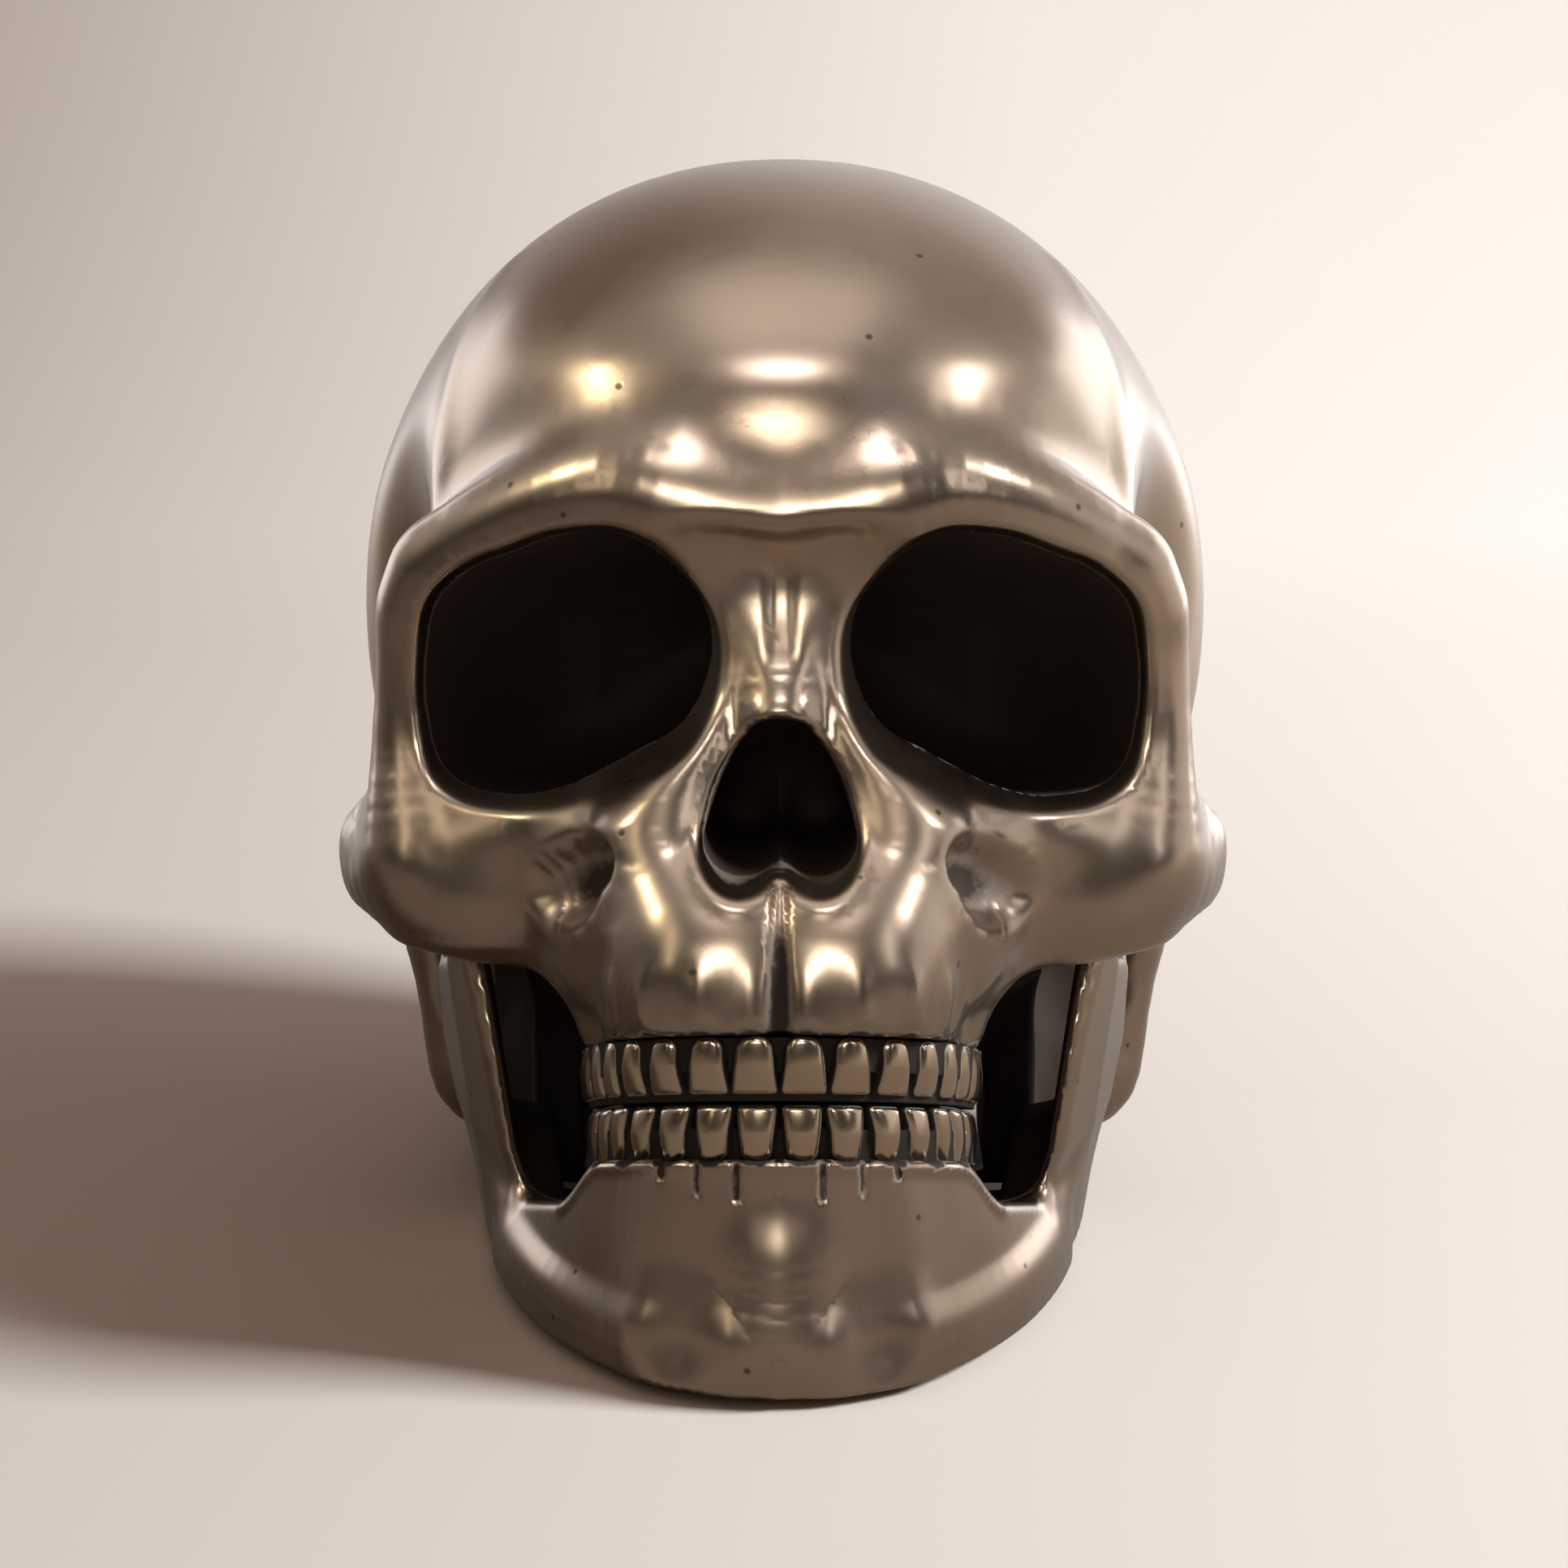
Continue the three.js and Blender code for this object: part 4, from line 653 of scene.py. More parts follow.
def head_fittings(p, bone):
    """Cuts the places for the hinge, the teeth and the cover."""
    pocket = across(p, KNOB_RADIUS + JOINT_SPACE, BOSS_FACE, JOINT_POCKET_END)
    insert_bore = across(p, INSERT_RADIUS, BOSS_FACE - INSERT_DEPTH, BOSS_FACE + OVERRUN)
    level = bite_level(p)
    slot = np.maximum(BITE_SLOT_LOW - level, np.abs(p[0]) - BITE_SLOT_SIDE)
    slot = np.maximum(level - BITE_SLOT_HIGH, slot)
    well = np.maximum(np.hypot(p[0], p[1] - WELL_Y) - WELL_RADIUS, p[2] - WELL_TOP)
    for space in (pocket, insert_bore, slot, well):
        bone = np.maximum(bone, -space)
    return np.maximum(bone, HEAD_UNDERSIDE - p[2])


BORDER_LINE = smooth_line(JAW_BORDER)
GUM_LINE = smooth_line(JAW_GUM)


def ramus_middle(p):
    """How far out the jaw's upright part stands: it spreads to the back and up, and tucks in low down."""
    x, y, z = RAMUS_PLACE
    spread = x + (p[1] - y) * RAMUS_SPREAD_BACK + (p[2] - z) * RAMUS_SPREAD_UP
    return np.minimum(spread, RAMUS_WIDEST) - RAMUS_TUCK * np.maximum(RAMUS_TUCK_TOP - p[2], 0)


def ramus(p):
    """The flat upright part of the jaw that rises to the hinge."""
    side = (p[0] * 0, p[1], p[2])
    plate = joined(rod(side, *RAMUS_CORNER), (chain(side, RAMUS_FRONT), 6), (chain(side, RAMUS_BACK), 5))
    wall = RAMUS_HALF_WALL - RAMUS_THINNING * np.clip((RAMUS_THIN_START - p[1]) / RAMUS_THIN_OVER, 0, 1)
    return cut(plate, np.abs(p[0] - ramus_middle(p)) - wall, 3)


def groove_distance(p):
    """Distance to the short grooves that run down from the gaps between the lower front teeth."""
    nearest = np.full(np.shape(p[0]), FAR)
    for x, y, length in GUM_GROOVES:
        off = np.hypot(p[0] - x, (p[1] - y) * GUM_GROOVE_REACH)
        ends = np.maximum(np.maximum(p[2] - GUM_GROOVE_TOP, LOWER_GUM - length - p[2]), 0)
        nearest = np.minimum(nearest, np.hypot(off, ends))
    return nearest


def lower_gum_top(p):
    """Height of the lower gum: scalloped between the crowns, and dropping beside the last of them."""
    scallop = SCALLOP * fade(outline_distance(p, LOWER_ROW), *SCALLOP_REACH)
    drop = JAW_GUM_DROP * fade(p[0], *JAW_GUM_DROP_PLACE)
    return LOWER_GUM_EDGE + scallop - BITE_FALL * (p[1] - TEETH_FRONT) - drop


def jaw_body(p):
    """The curved front of the jaw: its wall up to the gum, the shelf at its foot, and the chin."""
    rise = np.clip((p[2] - JAW_RISE_START) / JAW_RISE, 0, 1)
    wall = plan_distance(p, rise, BORDER_LINE, GUM_LINE) - JAW_WALL + JAW_WALL_THINNING * rise
    gum_top = lower_gum_top(p)
    bone = cut(wall, p[2] - gum_top, 1.8)
    lip = np.hypot(p[2] - gum_top + GUM_LIP_DOWN, np.maximum(p[1] - GUM_LIP_BACK, 0))
    bone = raised(bone, lip, *GUM_LIP)
    bone = cut(bone, p[1] - JAW_BODY_END, 4)
    shelf = plan_distance(p, rise * SHELF_SPREAD, BORDER_LINE, GUM_LINE) - JAW_WALL + SHELF_THINNING
    shelf_top = SHELF_TOP + np.clip((p[1] - SHELF_RISE_START) / SHELF_RISE_OVER, 0, 1) * SHELF_RISE
    bone = joined(bone, (cut(shelf, p[2] - shelf_top, 4), 4), (chain(p, CHIN), 9))
    bone = cut(bone, -rod(p, *CHIN_HOLLOW), 8)
    return raised(bone, groove_distance(p), *GUM_GROOVE)


def jaw(p):
    """The whole lower casting, as distance out from its skin."""
    p = fold(p)
    half_width = np.interp(p[1], BORDER_LINE[:, 1], BORDER_LINE[:, 0])
    web = cut(cut(p[0] - half_width, p[1] - WEB_END, 1), p[2] - WEB_TOP, 1)
    knob = across(p, KNOB_RADIUS, KNOB_START, KNOB_END)
    bone = joined(jaw_body(p), (ramus(p), 6), (web, 3), (knob, 3))
    for bar in JAW_BORES:
        bone = np.maximum(bone, -across(p, *bar))
    return cut(bone, JAW_UNDERSIDE - p[2], 1.2)


def crown_faces(p, crowns, *limits):
    """For each crown of a row, where a point lies on it, and whether it is a front tooth."""
    ends = [(-crowns[0][0], crowns[0][1])] + [(x, y) for x, y, _ in crowns] + [(crowns[-1][0], crowns[-1][1])]
    for i, (x, y, width) in enumerate(crowns):
        run = np.subtract(ends[i + 2], ends[i])
        yield *crown_face(p, x, y, width, run / np.hypot(*run), *limits), i < FRONT_CROWNS


def crown_face(p, x, y, width, run, low, high, gum_side):
    """Where a point lies on a crown: distance outside its outline, along it, outward and towards the gum."""
    along = (p[0] - x) * run[0] + (p[1] - y) * run[1]
    outward = (p[0] - x) * run[1] - (p[1] - y) * run[0]
    level = bite_level(p)
    middle, half_height = (low + high) / 2, (high - low) / 2
    to_gum = (level - middle) / half_height * gum_side
    narrowing = CROWN_NARROWING * np.clip(to_gum + CROWN_NARROWS_AT, -1, 1)
    half_width = width / 2 * (1 - narrowing)
    corner = CROWN_CORNER + CROWN_GUM_CORNER * np.clip(to_gum, 0, 1)
    side = np.abs(along) - half_width + corner
    end = np.abs(level - middle) - half_height + corner
    return rounded_corner(side, end, corner), along / half_width, outward, to_gum


def crown(outline, along, outward, to_gum, front):
    """One tooth: a bulging crown whose gum end is round and narrow."""
    bulge = CROWN_BULGE * along**2 + CROWN_GUM_BULGE * (to_gum + CROWN_BULGE_AT) ** 2
    lean = (FRONT_LEAN if front else BACK_LEAN) * np.clip(-to_gum, 0, 1)
    thick = np.abs(outward + CROWN_SET_BACK + lean + bulge * (outward > -CROWN_SET_BACK)) - CROWN_DEPTH
    return rounded_corner(outline + CROWN_EDGE, thick + CROWN_EDGE, CROWN_EDGE)


def teeth_row(p, crowns, low, high, gum_side):
    """A row of crowns on a bar of roots, with a filler between them that is painted dark as shade; a screen
    stands behind the upper row.
    """
    row = np.full(np.shape(p[0]), FAR)
    for face in crown_faces(p, crowns, low, high, gum_side):
        row = np.minimum(row, crown(*face))
    line = [(0, crowns[0][1])] + [(x, y) for x, y, _ in crowns]
    away = plan_distance((p[0], p[1] - ROOTS_SET_BACK, p[2]), 0, line, line)
    level = bite_level(p)
    root_middle = (high - ROOTS_FROM_EDGE) if gum_side > 0 else (low + ROOTS_FROM_EDGE)
    bar = np.maximum(away - ROOTS_DEPTH, np.abs(level - root_middle) - ROOTS_RISE)
    filler_ends = np.maximum(low - FILLER_PAST - level, level - high + FILLER_SHORT)
    filler = np.maximum(away - FILLER_DEPTH, filler_ends)
    row = melt(row, np.minimum(bar, filler), 0.4)
    if gum_side < 0:
        return row
    inside = plan_distance((p[0] * SCREEN_NARROWING, p[1] - SCREEN_SET_BACK, p[2]), 0, line, line)
    screen = np.maximum(inside - SCREEN_DEPTH, np.abs(level - SCREEN_MIDDLE) - SCREEN_RISE)
    return np.minimum(row, screen)


def outline_distance(p, row):
    """Distance outside the outline of the nearest crown, as seen from in front of the row."""
    nearest = np.full(np.shape(p[0]), FAR)
    for outline, _, outward, _, _ in crown_faces(p, *row):
        nearest = np.minimum(nearest, np.where(outward > OUTLINE_BACK, outline, FAR))
    return nearest


def upper_teeth(p):
    """The upper row of teeth."""
    return teeth_row(p, *UPPER_ROW)


def lower_teeth(p):
    """The lower row of teeth."""
    return teeth_row(p, *LOWER_ROW)


def grid_axes(low, high, step):
    """Sample places along each axis of a box; x starts at the plane of symmetry."""
    return [np.arange(0 if i == 0 else low[i], high[i] + step, step) for i in range(3)]


def sample(field, low, high, step):
    """Samples half of a field on a grid; blocks that are far from the skin take one value all over."""
    axes = grid_axes(low, high, step)
    shape = [math.ceil(len(axis) / BLOCK) for axis in axes]
    middles = np.meshgrid(
        *[axis[0] + (np.arange(n) * BLOCK + (BLOCK - 1) / 2) * step for axis, n in zip(axes, shape)],
        indexing="ij",
    )
    coarse = field(tuple(middle.ravel() for middle in middles)).reshape(shape)
    reach = BLOCK * step * math.sqrt(3) / 2 * BLOCK_MARGIN + 2 * step
    full = coarse
    for i in range(3):
        full = np.repeat(full, BLOCK, axis=i)
    full = full[: len(axes[0]), : len(axes[1]), : len(axes[2])].copy()
    i, j, k = np.nonzero(np.abs(full) < reach)
    full[i, j, k] = field((axes[0][i], axes[1][j], axes[2][k]))
    return axes, full


def slopes(field, points):
    """Value of a field and the direction in which it rises, at points on either side of the head."""
    side = np.where(points[:, 0] < 0, -1.0, 1.0)
    x, y, z = np.abs(points[:, 0]), points[:, 1], points[:, 2]
    rises = []
    for dx, dy, dz in np.eye(3) * SLOPE_REACH:
        ahead = field((np.abs(x + dx), y + dy, z + dz))
        behind = field((np.abs(x - dx), y - dy, z - dz))
        rises.append((ahead - behind) / (2 * SLOPE_REACH))
    rises[0] = rises[0] * side
    return field((x, y, z)), np.stack(rises, axis=1)


def whole_grid(field, low, high, step):
    """Samples a field on both sides of the middle; gives the values and the place of the first."""
    axes, half = sample(field, low, high, step)
    start = np.array([-(len(axes[0]) - 1) * step, axes[1][0], axes[2][0]])
    return np.concatenate([half[:0:-1], half], axis=0), start


def settled(field, points, step):
    """Moves points onto the true skin of a field; gives them with its normals there."""
    for _ in range(SETTLING_PASSES):
        value, rise = slopes(field, points)
        move = value / np.maximum((rise**2).sum(axis=1), 0.25)
        points = points - rise * np.clip(move, -LONGEST_MOVE * step, LONGEST_MOVE * step)[:, None]
    _, rise = slopes(field, points)
    return points, rise / np.maximum(np.linalg.norm(rise, axis=1, keepdims=True), 1e-6)


def skin(name, field, low, high, step, merge):
    """Makes the mesh where a field is zero, settled onto the true skin and shaded by its slope."""
    values, start = whole_grid(field, low, high, step)
    volume = openvdb.FloatGrid(VOLUME_OUTSIDE)
    volume.copyFromArray(np.clip(values, -SKIN_CELLS * step, SKIN_CELLS * step).astype(np.float32))
    points, triangles, quads = volume.convertToPolygons(isovalue=0.0, adaptivity=merge)
    points, normals = settled(field, points * step + start, step)
    mesh = bpy.data.meshes.new(name)
    mesh.from_pydata((points * MM).tolist(), [], triangles.tolist() + quads.tolist())
    mesh.update()
    mesh.polygons.foreach_set("use_smooth", [True] * len(mesh.polygons))
    mesh.normals_split_custom_set_from_vertices(normals.tolist())
    return placed(name, mesh), points


def blurred(solid, reach):
    """Blurs a grid with three running means, close to a bell curve of some reach in cells."""
    width = max(int(round(reach)), 1)
    for axis in range(3):
        for _ in range(BLUR_PASSES):
            padding = [(0, 0)] * 3
            padding[axis] = (width + 1, width)
            total = np.cumsum(np.pad(solid, padding, mode="edge"), axis=axis)
            count = 2 * width + 1
            upper = np.take(total, np.arange(count, total.shape[axis]), axis=axis)
            lower = np.take(total, np.arange(0, total.shape[axis] - count), axis=axis)
            solid = (upper - lower) / count
    return solid


def crowding(field, low, high, step, reach):
    """How much solid lies round each place, from 0 in the open to 1 deep inside."""
    values, start = whole_grid(field, low, high, step)
    solid = np.clip(0.5 - values / step, 0, 1).astype(np.float32)
    return start, step, blurred(solid, reach / step / BLUR_SPREAD)


def look_up(grid, points):
    """Reads a grid at points by the eight cells round each."""
    start, step, values = grid
    place = (points - start) / step
    place = np.clip(place, 0, np.array(values.shape) - 1.001)
    cell = np.floor(place).astype(int)
    t = place - cell
    result = np.zeros(len(points))
    for corner in range(8):
        bits = np.array([corner & 1, corner >> 1 & 1, corner >> 2])
        weight = np.prod(np.where(bits, t, 1 - t), axis=1)
        i, j, k = (cell + bits).T
        result += weight * values[i, j, k]
    return result


def add_shade(piece, name, values):
    """Stores one number for each point of a piece, which its material reads."""
    layer = piece.data.attributes.new(name, "FLOAT", "POINT")
    layer.data.foreach_set("value", np.clip(values, 0, 1).astype(np.float32))


def everything(p):
    """All four sculpted pieces together."""
    return np.minimum(np.minimum(head(p), jaw(p)), np.minimum(upper_teeth(p), lower_teeth(p)))


def node_makers(tree):
    """Short ways to add a node, a sum or product, a mix of two colours and a colour ramp to a shader tree."""

    def node(kind, inputs=None, **settings):
        made = tree.nodes.new("ShaderNode" + kind)
        for key, value in settings.items():
            setattr(made, key, value)
        for key, value in (inputs or {}).items():
            if isinstance(value, bpy.types.NodeSocket):
                tree.links.new(value, made.inputs[key])
            else:
                made.inputs[key].default_value = value
        return made

    def calc(operation, *values, clamp=False):
        return node("Math", dict(enumerate(values)), operation=operation, use_clamp=clamp).outputs[0]

    def mix(share, color, other):
        return node("Mix", {0: share, 6: color, 7: other}, data_type="RGBA").outputs[2]

    def ramp(value, stops):
        made = node("ValToRGB", {"Fac": value})
        made.color_ramp.elements[0].position = stops[0][0]
        made.color_ramp.elements[0].color = stops[0][1]
        made.color_ramp.elements[1].position = stops[-1][0]
        made.color_ramp.elements[1].color = stops[-1][1]
        for position, color in stops[1:-1]:
            made.color_ramp.elements.new(position).color = color
        return made.outputs["Color"]

    return node, calc, mix, ramp


def new_material(name):
    """An empty material with a Principled shader, and short ways to add nodes to it."""
    material = bpy.data.materials.new(name)
    material.use_nodes = True
    tree = material.node_tree
    return material, tree, tree.nodes["Principled BSDF"], *node_makers(tree)


def grey(value):
    """A grey level as a colour."""
    return (value, value, value, 1)


def shade_and_patina_share(fine, node, calc, ramp):
    """Where the dark patina and the painted shade lie: in the recesses and the grooves, with a ragged edge.
    """
    # painted shade, mixed with the casting's own patina, in the recesses and in the gaps round the teeth
    recess = node("Attribute", attribute_name="recess").outputs["Fac"]
    groove = node("Attribute", attribute_name="groove").outputs["Fac"]
    deepest = calc("MAXIMUM", recess, groove)
    ragged = calc("MULTIPLY_ADD", fine, 0.3, -0.15)
    edge = calc("ADD", deepest, ragged, clamp=True)
    return ramp(edge, [(0.17, grey(0)), (0.75, grey(1))])


def bronze_color(cloud, shade_and_patina, pits, bright, dark, node, calc, mix, ramp):
    """Cloudy bronze with a painted bluish-grey sheen at grazing angles, dark in the patina and painted shade
    and in the pits.
    """
    tone = ramp(cloud, [(0.3, tuple(0.86 * c for c in bright[:3]) + (1,)), (0.7, bright)])
    # dark where the patina and the painted shade lie
    color = mix(shade_and_patina, tone, dark)
    # painted reflection: a bluish-grey sheen towards grazing angles, kept out of the dark parts
    facing = node("LayerWeight", {"Blend": 0.35}).outputs["Facing"]
    grazing = ramp(facing, [(0.5, grey(0)), (0.95, grey(0.75))])
    painted_grazing_sheen = calc("SUBTRACT", grazing, shade_and_patina)
    painted_grazing_sheen = calc("MAXIMUM", painted_grazing_sheen, 0.0)
    color = mix(painted_grazing_sheen, color, (0.50, 0.51, 0.54, 1))
    spots = calc("MULTIPLY", pits, 0.75)
    return mix(spots, color, dark)


def bronze_surface(scratches, pits, fine, node, calc):
    """The surface of the bronze: scratches, sunk pits and a fine grain."""
    height = calc("MULTIPLY", scratches, 0.35)
    height = calc("MULTIPLY_ADD", pits, -0.8, height)
    height = calc("MULTIPLY_ADD", fine, 0.05, height)
    return node("Bump", {"Height": height, "Strength": 0.16, "Distance": 0.0002}).outputs["Normal"]


def bronze_material(name, bright, dark, roughness):
    """Polished bronze with dark patina and painted shade in its recesses, a painted sheen at grazing angles,
    a cloudy tone, scratches and pin holes.
    """
    material, tree, shader, node, calc, mix, ramp = new_material(name)
    place = node("TexCoord").outputs["Object"]
    look = {"Vector": place, "Roughness": 0.6}
    cloud = node("TexNoise", {**look, "Scale": 38, "Detail": 5}).outputs["Fac"]
    fine = node("TexNoise", {**look, "Scale": 900, "Detail": 3}).outputs["Fac"]
    scratches = node("TexNoise", {**look, "Scale": 260, "Detail": 3}).outputs["Fac"]
    cells = node("TexVoronoi", {"Vector": place, "Scale": 95, "Randomness": 1}, feature="F1")
    pits = ramp(cells.outputs["Distance"], [(0.03, grey(1)), (0.07, grey(0))])
    # dark patina, deepened into painted shade in the recesses
    shade_and_patina = shade_and_patina_share(fine, node, calc, ramp)
    color = bronze_color(cloud, shade_and_patina, pits, bright, dark, node, calc, mix, ramp)
    metal = ramp(shade_and_patina, [(0.0, grey(1)), (1.0, grey(0))])
    shine = ramp(shade_and_patina, [(0.0, grey(0.5)), (1.0, grey(0.1))])
    polish = ramp(cloud, [(0.25, grey(roughness * 0.85)), (0.75, grey(roughness * 1.25))])
    rough = mix(shade_and_patina, polish, grey(0.7))
    tree.links.new(color, shader.inputs["Base Color"])
    tree.links.new(metal, shader.inputs["Metallic"])
    tree.links.new(shine, shader.inputs["Specular IOR Level"])
    tree.links.new(rough, shader.inputs["Roughness"])
    tree.links.new(bronze_surface(scratches, pits, fine, node, calc), shader.inputs["Normal"])
    return material


def plain_material(name, color, metallic, roughness, grain):
    """A small fitting's finish, with a fine grain in its tone and its surface."""
    material, tree, shader, node, *_, ramp = new_material(name)
    place = node("TexCoord").outputs["Object"]
    noise = node("TexNoise", {"Vector": place, "Scale": grain, "Detail": 4}).outputs["Fac"]
    darker = tuple(0.75 * c for c in color[:3]) + (1,)
    tree.links.new(ramp(noise, [(0.3, darker), (0.7, color)]), shader.inputs["Base Color"])
    shader.inputs["Metallic"].default_value = metallic
    shader.inputs["Roughness"].default_value = roughness
    bump = node("Bump", {"Height": noise, "Strength": 0.3, "Distance": 0.0002})
    tree.links.new(bump.outputs["Normal"], shader.inputs["Normal"])
    return material


def placed(name, data):
    """Puts new data into the scene as a thing of its own."""
    thing = bpy.data.objects.new(name, data)
    bpy.context.scene.collection.objects.link(thing)
    return thing


def add_lamp(name, place, size, power, color, mirrored=True, lights=True):
    """A softbox that looks at the skull; it may stay out of its reflections, or be seen only in them."""
    lamp = bpy.data.lights.new(name, "AREA")
    lamp.energy = power
    lamp.color = color
    lamp.shape = "RECTANGLE"
    lamp.size, lamp.size_y = size
    thing = placed(name, lamp)
    thing.location = place
    thing.rotation_euler = (Vector(LAMP_TARGET) - Vector(place)).to_track_quat("-Z", "Y").to_euler()
    thing.visible_glossy = mirrored
    thing.visible_diffuse = lights


def add_camera():
    """The photograph's camera, almost straight in front of the face and a little above it."""
    rise, turn = math.radians(CAMERA_RISE), math.radians(CAMERA_TURN)
    back = Vector((math.sin(turn) * math.cos(rise), -math.cos(turn) * math.cos(rise), math.sin(rise)))
    camera = bpy.data.cameras.new("camera")
    camera.lens = CAMERA_LENS
    camera.sensor_width = 36
    camera.clip_start = 0.01
    thing = placed("camera", camera)
    thing.location = Vector(CAMERA_TARGET) + back * CAMERA_DISTANCE
    thing.rotation_euler = (-back).to_track_quat("-Z", "Y").to_euler()
    bpy.context.scene.camera = thing


def drawn_out(form, edges, way):
    """Draws a sheet out from its last edge; gives the new last edge."""
    made = bmesh.ops.extrude_edge_only(form, edges=edges)["geom"]
    ends = [part for part in made if isinstance(part, bmesh.types.BMVert)]
    bmesh.ops.translate(form, verts=ends, vec=way)
    return [part for part in made if isinstance(part, bmesh.types.BMEdge) and set(part.verts) <= set(ends)]


def backdrop_sheet():
    """A sheet that lies flat under the skull, curves up behind it and ends in a wall."""
    form = bmesh.new()
    corners = [form.verts.new((x, FLOOR_FRONT, 0)) for x in (SHEET_SIDE, -SHEET_SIDE)]
    edges = drawn_out(form, [form.edges.new(corners)], (0, FLOOR_BACK - FLOOR_FRONT, 0))
    turned = bmesh.ops.spin(
        form, geom=edges, cent=(0, FLOOR_BACK, CURVE_RADIUS), axis=(1, 0, 0), angle=math.radians(90),
        steps=CURVE_STEPS,
    )
    edges = [part for part in turned["geom_last"] if isinstance(part, bmesh.types.BMEdge)]
    drawn_out(form, edges, (0, 0, WALL_TOP - CURVE_RADIUS))
    for face in form.faces:
        face.smooth = True
    mesh = bpy.data.meshes.new("backdrop")
    form.to_mesh(mesh)
    form.free()
    return placed("backdrop", mesh)


def paper_material():
    """Warm paper that glows far behind the skull with a painted glow that rises to the right, and has a
    painted shadow right under it.
    """
    material, tree, shader, node, calc, mix, ramp = new_material("warm_paper")
    shader.inputs["Roughness"].default_value = 0.9
    shader.inputs["Emission Color"].default_value = (1.0, 0.97, 0.93, 1)
    path = node("LightPath")
    place = node("TexCoord").outputs["Object"]
    parts = node("SeparateXYZ", {0: place})
    to_right = calc("ADD", parts.outputs["X"], 0.5)
    # painted light: the glow behind the skull rises from left to right
    side = ramp(to_right, [(0.1, grey(0.03)), (0.6, grey(0.37))])
    behind = ramp(parts.outputs["Y"], [(0.05, grey(0)), (0.65, grey(1))])
    seen = calc("MAXIMUM", path.outputs["Is Camera Ray"], path.outputs["Is Glossy Ray"])
    far = calc("MULTIPLY", seen, behind)
    glow_with_painted_side_light = calc("MULTIPLY", far, side)
    tree.links.new(glow_with_painted_side_light, shader.inputs["Emission Strength"])
    footprint = node("VectorMath", {0: place, 1: (18.0, 11.0, 0.0)}, operation="MULTIPLY").outputs[0]
    from_skull = node("VectorMath", {0: footprint}, operation="LENGTH").outputs["Value"]
    # painted shadow: the paper's colour goes near black right under the skull
    floor = ramp(from_skull, [(0.70, (0.05, 0.04, 0.035, 1)), (0.85, (0.57, 0.49, 0.435, 1))])
    front = calc("SUBTRACT", 1.0, behind)
    # painted shade: the paper in front shows darker in the bronze's reflections
    painted_reflection_shade = calc("MULTIPLY", path.outputs["Is Glossy Ray"], front)
    paper = mix(painted_reflection_shade, floor, (0.23, 0.185, 0.15, 1))
    tree.links.new(paper, shader.inputs["Base Color"])
    return material


def add_backdrop():
    """The pale sheet of paper that the skull stands on."""
    sheet = backdrop_sheet()
    sheet.data.materials.append(paper_material())


def add_world():
    """An even warm light, and the room that the bronze mirrors: bright behind and above, dark in front."""
    world = bpy.data.worlds.new("studio")
    bpy.context.scene.world = world
    world.use_nodes = True
    tree = world.node_tree
    node, calc, mix, ramp = node_makers(tree)
    direction = node("TexCoord").outputs["Generated"]
    bright_side = node("VectorMath", {0: direction, 1: (0.0, 0.5, 0.42)}, operation="DOT_PRODUCT")
    share = calc("ADD", bright_side.outputs["Value"], 0.35)
    room = ramp(share, [(0.25, (0.045, 0.038, 0.032, 1)), (0.66, (0.85, 0.80, 0.76, 1))])
    mirrored = node("LightPath").outputs["Is Glossy Ray"]
    seen = mix(mirrored, (0.42, 0.29, 0.22, 1), room)
    background = tree.nodes["Background"]
    tree.links.new(seen, background.inputs["Color"])
    background.inputs["Strength"].default_value = 0.6


def add_lamps():
    """The softboxes that the bronze mirrors, and the lamp that casts the shadow."""
    for name, place, size, power, color in SOFTBOXES:
        add_lamp(name, place, size, power, color, lights=False)
    add_lamp("shadow_lamp", (1.1, -0.25, 0.75), (0.35, 0.35), 41.0, (0.86, 0.94, 1.0), mirrored=False)


def head_shade(points):
    """Full shade in the eye sockets, the nose, the mouth and the seam over the front teeth."""
    p = fold(tuple(points.T))
    eye = fade(-socket(p), -1.3, -0.3) * fade(p[1] - rim_depth(p), -0.3, 1.6)
    nose = fade(-nose_opening(p), -0.9, -0.3) * fade(p[1], -82, -75) * (p[1] < NOSE_BACK + 8)
    mouth = fade(p[1], -58, -51) * fade(-p[1], -22, -10) * fade(-p[2], -57, -54) * fade(-p[0], -53.5, -49.5)
    seam = bell(p[0] - FOLD, seam_width(p, SEAM_SHADE_WIDTH)) * (p[1] < -75)
    seam = seam * fade(-p[2], -77, -66) * fade(p[2], 56, 58)
    return np.maximum(np.maximum(eye, nose), np.maximum(mouth, seam))


def jaw_shade(points):
    """Full shade inside the jaw and in the short grooves of its gum."""
    p = fold(tuple(points.T))
    inside = fade(ramus_middle(p) - p[0], 0.2, 1.6) * fade(p[1], -50, -44) * (p[2] > 7)
    grooves = fade(-groove_distance(p), -1.0, -0.3) * (p[1] < -80)
    return np.maximum(inside, grooves)


def gap_shade(points, own_row):
    """Shade round every crown: on the gums the line of each tooth, on the teeth the gaps between them."""
    p = (np.abs(points[:, 0]), points[:, 1], points[:, 2])
    if own_row:
        return fade(outline_distance(p, own_row), -0.55, -0.1)
    outline = np.minimum(outline_distance(p, UPPER_ROW), outline_distance(p, LOWER_ROW))
    return fade(-outline, -1.1, -0.2) * fade(-p[1], 48, 50)


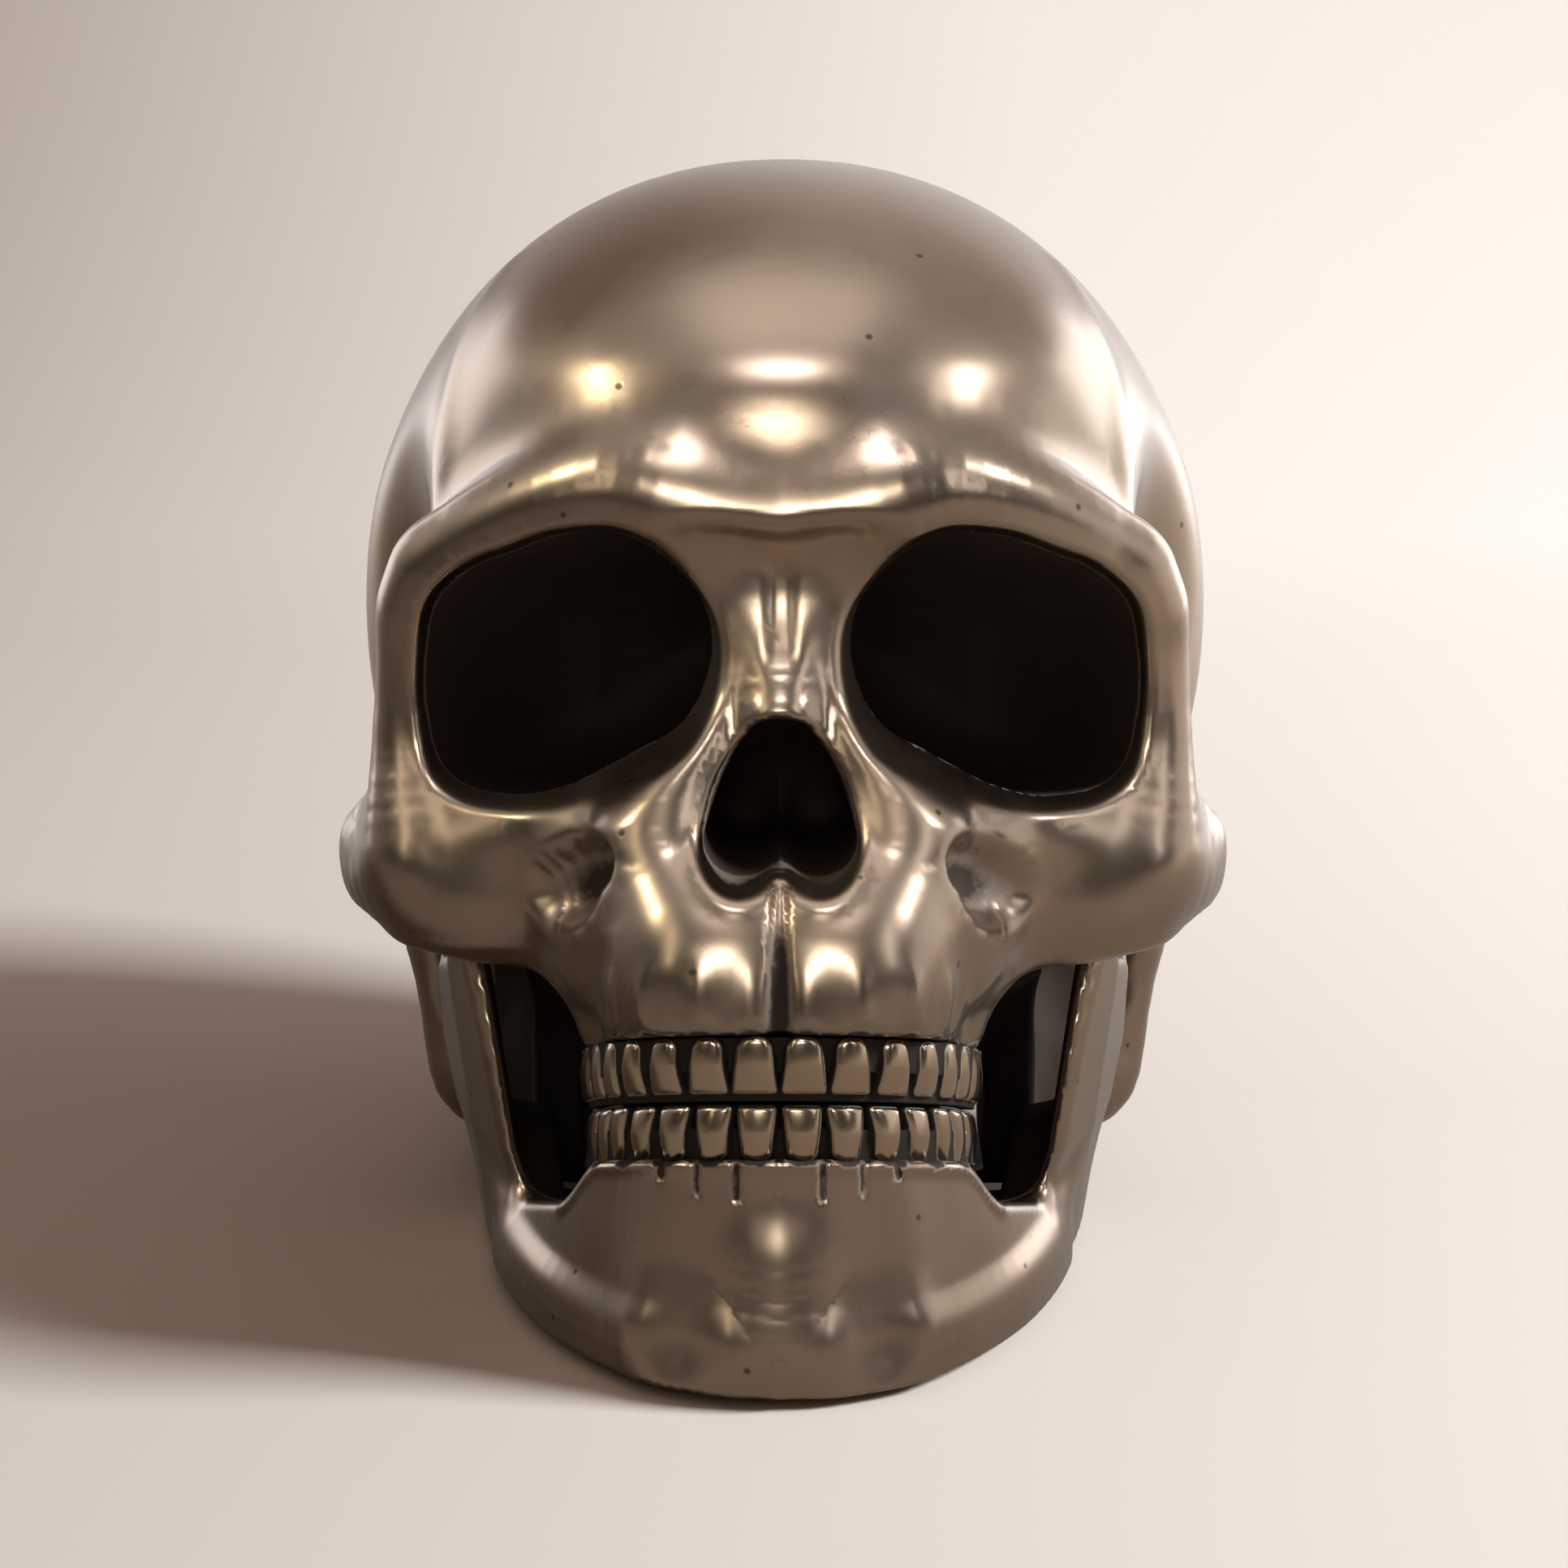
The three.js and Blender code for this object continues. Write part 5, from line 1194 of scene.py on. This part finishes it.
def dress_castings():
    """Sculpts the four castings, shades their recesses and puts them in place of the plain solids."""
    bronze = bronze_material("polished_bronze", (0.39, 0.31, 0.245, 1), (0.034, 0.024, 0.019, 1), 0.28)
    tooth_bronze = bronze_material("tooth_bronze", (0.50, 0.40, 0.30, 1), (0.016, 0.013, 0.010, 1), 0.22)
    room = crowding(everything, *WHOLE_ROOM, HOLLOW_STEP, HOLLOW_REACH)
    castings = [
        ("head_skin", head, HEAD_ROOM, HEAD_STEP, HEAD_MERGE, head_shade, None, "cranium", "skull", bronze),
        ("jaw_skin", jaw, JAW_ROOM, JAW_STEP, 0.0, jaw_shade, None, "lower_jaw", "jaw", bronze),
        (
            "upper_teeth_skin", upper_teeth, UPPER_TEETH_ROOM, TEETH_STEP, 0.0, None, UPPER_ROW,
            "upper_teeth", "skull", tooth_bronze,
        ),
        (
            "lower_teeth_skin", lower_teeth, LOWER_TEETH_ROOM, TEETH_STEP, 0.0, None, LOWER_ROW,
            "lower_teeth", "jaw", tooth_bronze,
        ),
    ]
    for name, field, corners, step, merge, shade, row, node, body, material in castings:
        piece, points = skin(name, field, *corners, step, merge)
        # painted shade in the recesses, together with the casting's patina there
        recess = fade(look_up(room, points), RECESS_START, RECESS_FULL)
        if shade:
            recess = np.maximum(recess, shade(points))
        add_shade(piece, "recess", recess)
        add_shade(piece, "groove", gap_shade(points, row))
        piece.data.materials.append(material)
        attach(piece, body)
        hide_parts(node)


def dress_fittings():
    """Gives the hinge, the cover and the pads their finishes."""
    finishes = {
        "screw": plain_material("turned_steel", (0.55, 0.55, 0.54, 1), 1.0, 0.32, 900),
        "insert": plain_material("turned_brass", (0.70, 0.52, 0.24, 1), 1.0, 0.35, 900),
        "washer": plain_material("nylon", (0.78, 0.75, 0.68, 1), 0.0, 0.5, 1200),
        "base_cover": plain_material("brown_plate", (0.055, 0.04, 0.03, 1), 0.0, 0.5, 700),
        "felt": plain_material("black_felt", (0.02, 0.018, 0.016, 1), 0.0, 0.95, 2500),
    }
    for name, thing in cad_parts.items():
        for word, material in finishes.items():
            if word in name:
                thing.data.materials.clear()
                thing.data.materials.append(material)


add_camera()
dress_castings()
dress_fittings()
add_backdrop()
add_world()
add_lamps()
bpy.context.scene.view_settings.view_transform = "Standard"
